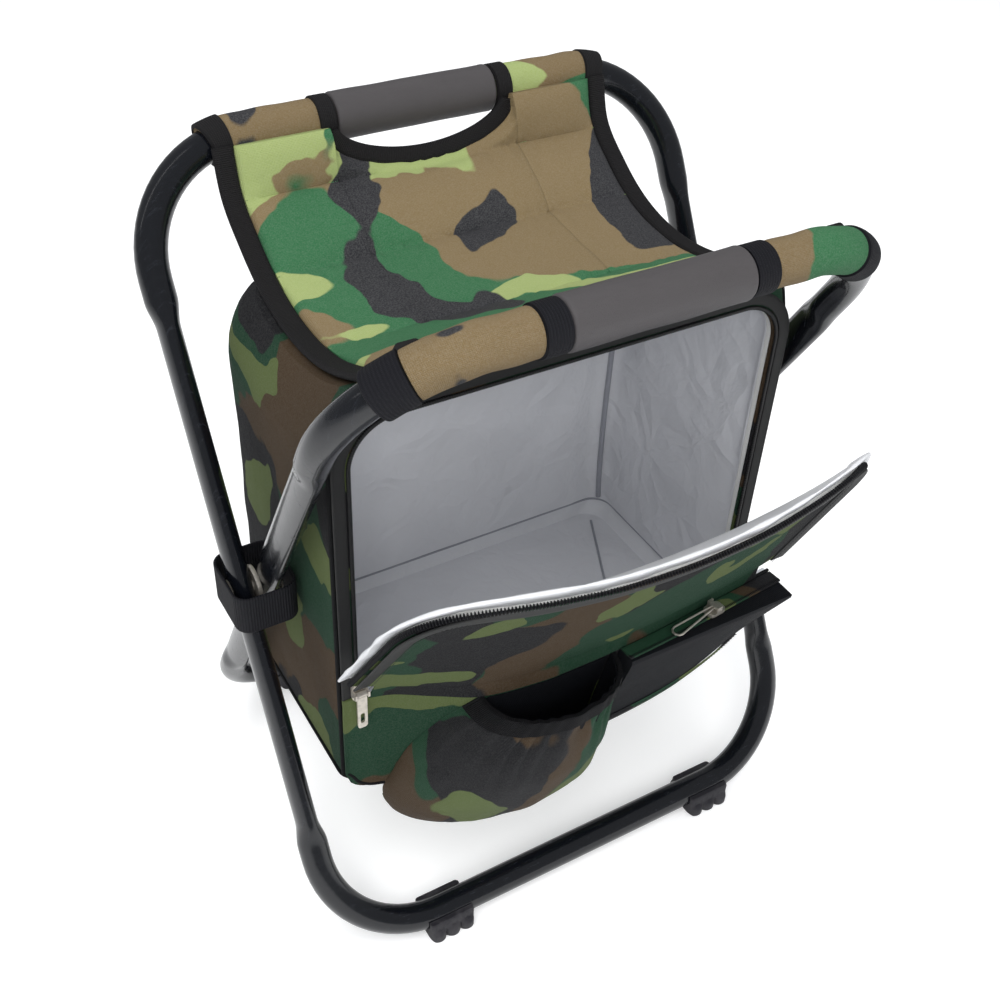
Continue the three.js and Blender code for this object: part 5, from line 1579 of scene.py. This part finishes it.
@dataclass
class FrontPanel:
    """The bulging lower front of the bag, with its rim."""

    back: float = -70.3
    low: float = 101.0
    top: float = 179.0
    half: float = 141.7
    thick: float = 4.0
    top_bulge: float = 40.0
    low_bulge: float = 26.0
    corner: float = 13.0
    foot_r: float = 7.0
    lining: float = 0.985
    top_shares: Table = (0.04, 0.18, 0.52, 0.84, 0.95, 1, 1, 0.98, 0.94, 0.88, 0.82, 0.76, 0.7)
    low_shares: Table = (0.06, 0.34, 0.66, 0.84, 0.94, 0.99, 1, 0.99, 0.94, 0.84, 0.66, 0.42, 0.1)

    def reach(self, x: Points, z: Points | float) -> Points:
        """How far the panel stands out from the bag's front."""
        across = (np.asarray(x, float) + self.half) / (2 * self.half)
        up = (np.asarray(z, float) - self.low) / (self.top - self.low)
        low = self.low_bulge * read_shares(self.low_shares, across)
        return low + (self.top_bulge * read_shares(self.top_shares, across) - low) * up

    def corner_rise(self, x: Points, half: float) -> Points:
        """How far the bottom edge rises towards the rounded lower corners."""
        near_end = np.clip(self.corner - (half - np.abs(x)), 0, self.corner)
        return self.corner - np.sqrt(self.corner**2 - near_end**2)

    def section(self, x: Points, inset: float) -> list[Points]:
        """The front face's side view at places x: from the bag's foot forwards, round the corner and up."""
        floor = self.low + inset + self.corner_rise(x, self.half)
        foot = self.reach(x, self.low) - inset
        r = np.clip(foot * 0.45, 0.05, self.foot_r)
        parts = np.linspace(0, 1, 6, endpoint=False)
        rows = [spots(x, self.back - (foot - r) * part, floor) for part in parts]
        for turn in quarter(7)[:-1]:
            rows.append(spots(x, self.back - foot + r - r * math.sin(turn), floor + r * (1 - math.cos(turn))))
        for share in np.linspace(0, 1, 26):
            z = floor + r + (self.top - floor - r) * share
            rows.append(spots(x, self.back - np.maximum(self.reach(x, z) - inset, 0.02), z))
        return rows

    def build(self, bench: Workbench) -> None:
        """Makes the panel's cloth, its lining and its bottom piping."""
        x, middle = np.linspace(-self.half, self.half, 121), self.thick * 0.5
        cloth = bench.shell("front_panel_cloth", self.section(x, 0.0) + self.section(x, middle)[::-1])
        bench.crumple(cloth, 0.8, 30, 5.0, (0.104, 0.118, 0.172, 0.178))
        bench.dress(cloth, Finishes.PANEL, Bodies.BAG, ["front_panel"], 50)
        bench.sheet(cloth, 2 * self.half)
        narrow = x * self.lining
        lined = self.section(narrow, middle + 0.1) + self.section(narrow, self.thick)[::-1]
        lining = bench.shell("front_panel_lining", lined)
        bench.dress(lining, Finishes.LINER, Bodies.BAG)
        bench.sheet(lining, 2 * self.half)
        y, z = self.back - self.reach(x, self.low) + 0.3, self.low + 1.8 + self.corner_rise(x, self.half - 2)
        bench.cord("front_panel_piping", spots(x * 0.99, y, z), (0.0, -0.7, -0.7), 1.4, Finishes.PIPING)


@dataclass
class CupPocket:
    """A gathered cup pocket on the left of the panel, with an elastic hem."""

    panel: FrontPanel
    left: Pair = (122.0, 72.0)
    right: Pair = (8.0, 15.0)
    depth: float = 42.0
    low: float = 78.0
    tuck: float = 0.5
    top: float = 179.0
    hem: float = 170.0
    wall: float = 2.0
    fold: float = 1.5
    floor_lift: float = 15.0
    rim_sag: float = 5.0
    gathered: float = 1.15
    backing_low: float = 32.0
    outline: Table = (0, 0.42, 0.68, 0.86, 0.96, 1, 0.96, 0.86, 0.68, 0.42, 0)
    fullness: Table = (0.5, 0.84, 0.98, 1, 0.9, 0.78, 0.68)

    def up(self, z: float) -> float:
        """Share of the pocket's height."""
        return min(max((z - self.low) / (self.top - self.low), 0), 1)

    def edges(self, z: float) -> Pair:
        """Where the pocket is sewn to the panel at a height, on its left and right."""
        up = self.up(z)
        left = -(self.left[0] + (self.left[1] - self.left[0]) * up**2)
        return left, self.right[0] + (self.right[1] - self.right[0]) * up

    def row(self, z: float, inset: float, gather: float = 0.0, back: bool = False) -> Points:
        """Points round the pocket's front, or its back below the panel, at a height.

        Args:
            z: The height.
            inset: How far inside the outer face it runs.
            gather: How far the gathers stand out.
            back: Whether the back is wanted.

        Returns:
            Points from left to right.
        """
        share = np.linspace(0, 1, 161)
        left, right = self.edges(z)
        left, right = left + inset, right - inset
        x = left + (right - left) * (1 - np.cos(math.pi * share)) / 2
        round_share = read_shares(self.outline, share)
        whole = round_share * float(read_shares(self.fullness, self.up(z))) * self.depth
        under = self.tuck * max((self.panel.low - z) / (self.panel.low - self.low), 0)
        depth = under * whole + inset
        if not back:
            folds = np.sin(share * 74 + 2.1 * np.sin(share * 17))
            folds = folds * np.clip(np.minimum(share, 1 - share) * 9, 0, 1)
            depth = np.maximum(whole - inset + gather * (1 - folds), depth if under > 0 else 0)
        lift = self.floor_lift * (1 - round_share) ** 1.3 * (1 - ease(self.low, self.low + 34, z))
        sag = self.rim_sag * round_share * float(ease(self.low + 45, self.top, z))
        reach = self.panel.reach(x, max(z, self.panel.low))
        return spots(x, self.panel.back - reach - depth - 0.3, z + lift - sag)

    def build(self, bench: Workbench) -> None:
        """Makes the pocket and its hem."""
        low, wall = self.low, self.wall
        outer, inner = [], []
        for z in np.linspace(low, self.hem - 0.3, 38):
            gather = -0.1 - self.fold * float(ease(low + 40, self.hem, z)) ** 1.3
            outer.append(self.row(z, 0.4, gather))
            inner.append(self.row(max(z, low + wall), wall, gather))
        back = [self.row(z, 0.0, back=True) for z in np.linspace(self.panel.low, low, 9)]
        behind = [self.row(z, wall, back=True) for z in np.linspace(low + wall, self.panel.low, 9)]
        parts = np.linspace(0, 1, 7)[1:-1]
        floor = [back[-1] + (outer[0] - back[-1]) * part for part in parts]
        inside = [inner[0] + (behind[0] - inner[0]) * part for part in parts]
        cloth = bench.shell("cup_pocket_cloth", back + floor + outer + inner[::-1] + inside + behind)
        bench.crumple(cloth, 2.0, 24, 8.0, (0.082, 0.1, 0.15, 0.165))
        bench.dress(cloth, Finishes.POCKET, Bodies.BAG, ["cup_pocket"], 60)
        levels = np.linspace(low + 8, self.top - 0.5, 24)
        lined = [self.row(z, wall + 0.2, -0.6) for z in levels]
        lined += [self.row(z, wall + 0.6, -0.6) for z in levels[::-1]]
        liner = bench.shell("cup_pocket_lining", lined)
        bench.dress(liner, Finishes.POUCH, Bodies.BAG)
        levels = np.linspace(low + self.backing_low, self.top - 2, 12)
        faces = [self.behind(z, 1.1) for z in levels] + [self.behind(z, 0.4) for z in levels[::-1]]
        backing = bench.shell("cup_pocket_backing", faces)
        bench.dress(backing, Finishes.POUCH, Bodies.BAG)
        levels = np.linspace(self.hem, self.top, 8)
        face = [self.row(z, -0.2, -0.25 if z < self.top - 1 else -0.45) for z in levels]
        band = bench.shell("cup_pocket_elastic", face + [self.row(z, wall, -0.3) for z in levels[::-1]])
        bench.dress(band, Finishes.ELASTIC, Bodies.BAG, ["cup_pocket_hem"], 60)
        width = self.gathered * (self.left[0] + self.right[0])
        bench.sheet(cloth, width)
        bench.sheet(backing, self.left[1] + self.right[1])

    def behind(self, z: float, lift: float) -> Points:
        """Points across the panel inside the pocket at a height."""
        left, right = self.edges(z)
        x = np.linspace(left + 7, right - 5, 60)
        return spots(x, self.panel.back - self.panel.reach(x, z) - lift, z)


@dataclass
class FlatPouch:
    """The flat zipped pouch on the right of the panel."""

    panel: FrontPanel
    left: float = 19.0
    right: float = 140.0
    low: float = 103.0
    top: float = 179.0
    foot: float = 5.0
    front: float = -124.0
    trim: float = 7.0
    strip: float = 10.0
    strip_t: float = 1.6
    edge_r: float = 1.2
    columns: int = 61

    def face(self, x: Points, z: float, margin: float) -> Points:
        """Places along Y of the pouch's front face, at places x and a height."""
        base = self.panel.back - self.panel.reach(x, self.low) - self.foot
        return base + (self.front - base) * ((z - self.low) / (self.top - self.low)) - margin

    def block(
        self, bench: Workbench, name: str, high: float, margin: float, back: float | None, count: int
    ) -> Thing:
        """A block between the pouch's face and the panel, or a plate on the face.

        Args:
            bench: Where it is made.
            name: The piece's name.
            high: Its top; it starts at the pouch's foot.
            margin: How far it stands out from the face.
            back: How far out its back is, or None where it reaches the panel.
            count: Levels of its face.

        Returns:
            The object.
        """
        x = np.linspace(self.left, self.right, self.columns)
        rows, low, r = [], self.low, self.edge_r
        for z in np.linspace(low, high, count):
            edge = r * (1 - math.sqrt(max(1 - (1 - min(min(z - low, high - z) / r, 1)) ** 2, 0)))
            rows.append(spots(x, self.face(x, z, margin) + edge, z))
        for z in np.linspace(high, low, 6):
            panel = self.panel.back - self.panel.reach(x, z) - 0.3
            rows.append(spots(x, panel if back is None else self.face(x, z, back), z))
        return bench.shell(name, rows)

    def build(self, bench: Workbench) -> None:
        """Makes the pouch, its trim, strip and zip."""
        pouch = self.block(bench, "flat_pouch_cloth", self.top, 0.0, None, 30)
        bench.crumple(pouch, 0.7, 34, 2.0, (0.106, 0.116, 0.168, 0.177))
        bench.dress(pouch, Finishes.POUCH, Bodies.BAG, ["flat_pouch"], 50)
        bench.sheet(pouch, self.right - self.left)
        trim = self.block(bench, "pouch_trim_cloth", self.low + self.trim, 1.8, 0.5, 6)
        bench.dress(trim, Finishes.POCKET, Bodies.BAG, ["pouch_trim"], 50)
        bench.sheet(trim, self.trim * 2)
        x = np.linspace(self.left, self.right, self.columns)
        back = self.panel.back - self.panel.reach(x, self.top) - 0.3 - 1.6
        path = spots(x, back - self.strip / 2, self.top + 0.3 + self.strip_t / 2)
        strip = bench.sweep("pouch_strip_cloth", path, UPWARDS, strip_profile(self.strip, self.strip_t))
        bench.dress(strip, Finishes.POCKET, Bodies.BAG, ["pouch_strip"], 60)
        bench.sheet(strip, self.strip)
        line = path + (0, 1.4 - self.strip / 2, self.strip_t / 2 - 0.1)
        teeth = BeadLine(bench, Bead.TOOTH, 1.2, (0.85, 2.4, 0.9), 0.0)
        teeth.along("pouch_zip_teeth", line, UPWARDS, Finishes.COIL, Bodies.BAG)
        z = self.low + self.trim - 1.2
        path = spots(x, self.face(x, z, 1.95), z)
        BeadLine(bench).along("pouch_trim_stitches", path, FORWARDS, Finishes.BAG_THREAD, Bodies.BAG)


@dataclass
class Lid:
    """The unzipped lid: skin, foam and liner, leaning out from its cloth hinge."""

    panel: FrontPanel
    hinge_y: float = -98.0
    hinge_z: float = 192.0
    lean: float = math.radians(25)
    length: float = 148.0
    start: float = 8.0
    half: float = 142.0
    corner: float = 50.0
    curl: float = 14.0
    curl_run: float = 45.0
    edge_bow: float = 10.0
    base_bow: float = 11.0
    tuck: float = 21.0
    total: float = 6.2
    bow_shares: Table = (0, 0.44, 0.75, 0.94, 1, 0.94, 0.75, 0.44, 0)
    tuck_shares: Table = (1, 0.55, 0.12, 0, 0, 0, 0, 0, 0)
    hinge_half: float = 127.4
    hinge_t: float = 1.2
    hinge_belly: float = 0.6
    tape: float = 10.0
    lip: float = 12.0

    def bow(self, up: Points, x: Points) -> Points:
        """How far the lid's middle surface stands out of its plane."""
        across = (x + self.half) / (2 * self.half)
        bow = read_shares(self.bow_shares, across)
        base = self.base_bow * bow - self.tuck * read_shares(self.tuck_shares, across)
        curl = self.curl * bow * np.clip((up - self.length) / self.curl_run + 1, 0, None) ** 2
        return base + (self.edge_bow * bow - base) * up / self.length + curl

    def opened(self, x: Points, out: float, up: Points) -> Points:
        """Turns places across, off the middle surface of the lid and up it into the part's frame."""
        y = -self.bow(up, x) - out
        c, s = math.cos(self.lean), math.sin(self.lean)
        return spots(x, self.hinge_y + y * c - up * s, self.hinge_z + y * s + up * c)

    @property
    def outwards(self) -> Colour:
        """The direction that the lid's outer face looks to."""
        return (0.0, -math.cos(self.lean), -math.sin(self.lean))

    def layer(self, bench: Workbench, name: str, low: float, high: float, inset: float = 0.0) -> Thing:
        """A layer of the lid between two distances off its middle surface."""
        shoulder, length, corner = self.length - self.corner, self.length - inset, self.corner - inset
        ups = [np.linspace(self.start, shoulder, 30), (shoulder + corner * np.sin(quarter(22)[:-1]))[1:]]
        ups = np.concatenate([*ups, [length - 0.01]])
        past = np.clip(ups - shoulder, 0, corner)
        wide = self.half - self.corner + np.sqrt(np.maximum(corner**2 - past**2, 0))
        x, up = wide[:, None] * np.linspace(-1, 1, 97), ups[:, None]
        rows = np.concatenate([self.opened(x, low, up), self.opened(x, high, up)[:, ::-1]], 1)
        return bench.grid(name, rows, (False, True), True)

    def edge(self, inset: float) -> Points:
        """Places across and up along the lid's free edge, drawn in by an inset."""
        return arch(self.half - inset, self.length - inset, self.corner - inset, self.start, (26, 18, 34)).T

    def rim(self, inset: float, out: float) -> Points:
        """A line along the lid's free edge, drawn in by an inset and off its middle surface."""
        x, up = self.edge(inset)
        return self.opened(x, out, up)

    def build(self, bench: Workbench) -> None:
        """Makes the layers, the zip on the free edge and the hinge."""
        top, facing = self.total / 2, self.outwards
        for name, node, finish, low, high, inset in (
            ("lid_skin_cloth", "lid_skin", Finishes.LID, top - 1.8, top, 0.0),
            ("lid_foam_sheet", "lid_foam", Finishes.FOAM, top - 4.7, top - 2.1, 3.0),
            ("lid_liner_film", "lid_liner", Finishes.LID_LINER, -top, 1.2 - top, 0.0),
        ):
            made = bench.dress(self.layer(bench, name, low, high, inset), finish, Bodies.LID, [node], 50)
            if finish is Finishes.FOAM:
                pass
            else:
                bench.sheet(made, 2 * self.half)
        tape = bench.sweep("lid_zip_tape", self.rim(4.6, top + 0.9), facing, strip_profile(self.tape, 1.2))
        bench.dress(tape, Finishes.TAPE, Bodies.LID, ["lid_tape"], 60)
        bench.sheet(tape, self.tape)
        lip = bench.sweep("lid_liner_edge", self.rim(0.0, -top + 0.8), facing, strip_profile(self.lip, 1.8))
        bench.crumple(lip, 0.9, 16, 6.0)
        bench.dress(lip, Finishes.LID_LINER, Bodies.LID)
        bench.sheet(lip, self.lip)
        teeth = BeadLine(bench, Bead.TOOTH, 1.7, (1.1, 3.6, 2.8), 0.0)
        teeth.along("lid_zip_teeth", self.rim(-0.6, 1.6), self.edge_facing(-0.6), Finishes.COIL, Bodies.LID)
        path = self.rim(8.2, top + 1.55)
        BeadLine(bench).along("lid_tape_stitches", path, facing, Finishes.BAG_THREAD, Bodies.LID)
        self.hinge(bench)

    def edge_facing(self, inset: float) -> Points:
        """The direction out of the lid's free edge."""
        x, up = self.edge(inset)
        side = np.sign(x) * np.clip((np.abs(x) - (self.half - self.corner)) / self.corner, 0, 1)
        rise = np.clip((up - (self.length - self.corner)) / self.corner, 0, 1)
        return unit(spots(side, -rise * math.sin(self.lean), rise * math.cos(self.lean)) + 1e-6)

    def hinge(self, bench: Workbench) -> None:
        """Makes the strip of cloth between the panel's rim and the lid."""
        x = np.linspace(-self.hinge_half, self.hinge_half, 111)
        rim = self.panel.top
        low = spots(x, self.panel.back - self.panel.reach(x, rim), rim + 0.3)
        high = self.opened(x, 0.0, np.full_like(x, self.start - self.hinge_t))
        share = np.linspace(0, 1, 14)[:, None, None]
        belly = np.sin(math.pi * share) * (0.0, self.hinge_belly, 0.0)
        face = low[None] + (high - low)[None] * share + belly
        cloth = bench.shell("hinge_cloth_strip", np.concatenate([face + (0, -self.hinge_t, 0), face[::-1]]))
        bench.dress(cloth, Finishes.LID, None, ["hinge_cloth"], 60)
        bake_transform(cloth)
        bench.sheet(cloth, 2 * self.hinge_half)


@dataclass
class PivotStraps:
    """Webbing loops that tie the bag to the crossings."""

    inside: float = 142.3
    outside: float = 179.7
    depth: float = 44.0
    width: float = 26.0
    corner: float = 9.0
    thick: float = 1.6
    height: float = 216.1

    def build(self, bench: Workbench) -> None:
        """Makes both loops."""
        middle, half = (self.inside + self.outside) / 2, (self.outside - self.inside) / 2 - self.thick / 2
        deep, r = self.depth / 2 - self.thick / 2, self.corner - self.thick / 2
        corners = []
        for sx, sy, start in ((1, -1, -0.5), (1, 1, 0.0), (-1, 1, 0.5), (-1, -1, 1.0)):
            turn = (start + np.linspace(0, 0.5, 9)) * math.pi
            way = np.stack([np.cos(turn), np.sin(turn)], 1)
            corners.append((way * r + (sx * (half - r), sy * (deep - r)), way))
        line, out = [], []
        for (bend, way), (onwards, _) in zip(corners, corners[1:] + corners[:1]):
            straight = np.linspace(bend[-1], onwards[0], 8)[1:-1]
            line += [bend, straight]
            out += [way, np.broadcast_to(way[-1], straight.shape)]
        line, out = np.concatenate(line), np.concatenate(out)
        for side, sign in SIDES:
            path = spots(sign * (middle + line[:, 0]), line[:, 1], self.height)
            facing = spots(sign * out[:, 0], out[:, 1], 0.0)
            profile = strip_profile(self.width, self.thick, 0.45, 2, 8)
            strap = bench.sweep(f"{side}_pivot_strap_webbing", path, facing, profile, True)
            bench.dress(strap, Finishes.WEBBING, Bodies.BAG, [f"{side}_pivot_strap"], 60)


class ZipHardware:
    """The sliders and pulls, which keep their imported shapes."""

    def build(self) -> None:
        """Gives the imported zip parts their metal."""
        for name in ("zip_slider", "zip_pull", "pouch_zip_slider", "pouch_zip_pull"):
            for slot in bpy.data.objects[name].material_slots:
                slot.material = Finishes.METAL.material()


@dataclass
class Studio:
    """The floor, lights and camera."""

    eye: Table = (-0.3282, -0.4953, 0.7289)
    ahead: Table = (0.41055, 0.64993, -0.63957)
    upwards: Table = (0.294, 0.569, 0.768)
    lens: float = 46.5
    sensor: float = 36.0
    nearest: float = 0.01
    floor_half: float = 6.0
    floor_glow: float = 0.26
    world_power: float = 0.62
    world_dimming: float = 0.34
    aim: Table = (0.0, 0.0, 0.2)
    streak_long: float = 1.6

    def build(self) -> None:
        """Makes the whole studio."""
        self.floor()
        self.world()
        self.lamps()
        self.camera()

    def floor(self) -> None:
        """A pale floor that the camera sees as white where nothing shades it."""
        mesh = bpy.data.meshes.new("studio_floor")
        half = self.floor_half
        corners = [(-half, -half, 0), (half, -half, 0), (half, half, 0), (-half, half, 0)]
        mesh.from_pydata(corners, [], [(0, 1, 2, 3)])
        floor = linked("studio_floor", mesh)
        paint = bpy.data.materials.new("studio_floor_paint")
        paint.use_nodes = True
        bench = NodeBench(paint.node_tree)
        seen = bench.node("ShaderNodeLightPath", output="Is Camera Ray")
        glow = {"Emission_Color": (1.0, 1.0, 1.0), "Emission_Strength": seen * self.floor_glow}
        bench.surface(None, 0.0, Base_Color=(0.9, 0.9, 0.9), Roughness=0.9, **glow)
        mesh.materials.append(paint)

    def world(self) -> None:
        """An even world that looks white, and dimmer in glossy surfaces."""
        world = bpy.data.worlds.new("studio_world")
        bpy.context.scene.world = world
        world.use_nodes = True
        bench = NodeBench(world.node_tree)
        seen = bench.node("ShaderNodeLightPath", output="Is Camera Ray")
        mirrored_ray = bench.node("ShaderNodeLightPath", output="Is Glossy Ray")
        power = self.world_power - mirrored_ray * self.world_dimming
        even = bench.node("ShaderNodeBackground", None, {"Color": (0.95, 0.97, 1.0), "Strength": power})
        white = bench.node("ShaderNodeBackground", None, {"Color": (1.0, 1.0, 1.0), "Strength": 1.0})
        mixed = bench.node("ShaderNodeMixShader", None, {0: seen, 1: even, 2: white})
        bench.node("ShaderNodeOutputWorld", None, {"Surface": mixed})

    def lamps(self) -> None:
        """Soft lamps over the stool, and a long thin one that glossy surfaces show."""
        for name, at, size, power in (
            ("key", (-0.75, -0.55, 1.75), 1.1, 17.0),
            ("fill", (1.25, -0.9, 1.25), 1.4, 8.0),
            ("rim", (0.35, 1.35, 1.6), 1.2, 9.0),
            ("front", (-0.55, -1.15, 1.05), 0.5, 7.0),
            ("streak", (-0.95, 0.35, 1.5), 0.05, 0.8),
        ):
            lamp = bpy.data.lights.new(name, "AREA")
            lamp.size, lamp.energy = size, power
            if name == "streak":
                lamp.shape, lamp.size_y = "RECTANGLE", self.streak_long
            thing = linked(name, lamp)
            thing.visible_glossy = name == "streak"
            thing.location = at
            thing.rotation_euler = (Vector(self.aim) - Vector(at)).to_track_quat("-Z", "Y").to_euler()

    def camera(self) -> None:
        """The photograph's viewpoint."""
        lens = bpy.data.cameras.new("camera")
        lens.lens, lens.sensor_width, lens.clip_start = self.lens, self.sensor, self.nearest
        back = -Vector(self.ahead).normalized()
        up = (Vector(self.upwards) - back * Vector(self.upwards).dot(back)).normalized()
        turn = Matrix((up.cross(back), up, back)).transposed().to_4x4()
        thing = linked("camera", lens)
        thing.matrix_world = Matrix.Translation(self.eye) @ turn
        bpy.context.scene.camera = thing


def main() -> None:
    """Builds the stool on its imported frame."""
    logging.basicConfig(level=logging.INFO, format="%(message)s")
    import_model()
    bpy.context.scene.view_settings.view_transform = "Standard"
    Studio().build()
    bench = Workbench()
    outer = LegLoop(Bodies.OUTER, 339.0, math.radians(-30))
    inner = LegLoop(Bodies.INNER, 309.0, math.radians(30))
    for loop, end in ((outer, "front"), (inner, "rear")):
        loop.build(bench)
        Feet().build(bench, loop, end)
    PivotHardware(outer, inner).build(bench)
    BarDressings(outer, inner).build(bench)
    tops = [loop.leaned(loop.bar(np.array([0.0]))[0])[0, 1:] for loop in (outer, inner)]
    seat = Seat((tops[0], tops[1]))
    seat.build(bench)
    panel = FrontPanel()
    for part in (CoolerBag(seat.under), panel, CupPocket(panel), FlatPouch(panel), Lid(panel), PivotStraps()):
        part.build(bench)
    ZipHardware().build()
    LOG.info("%d pieces", len(bench.pieces))


if __name__ == "__main__":
    main()
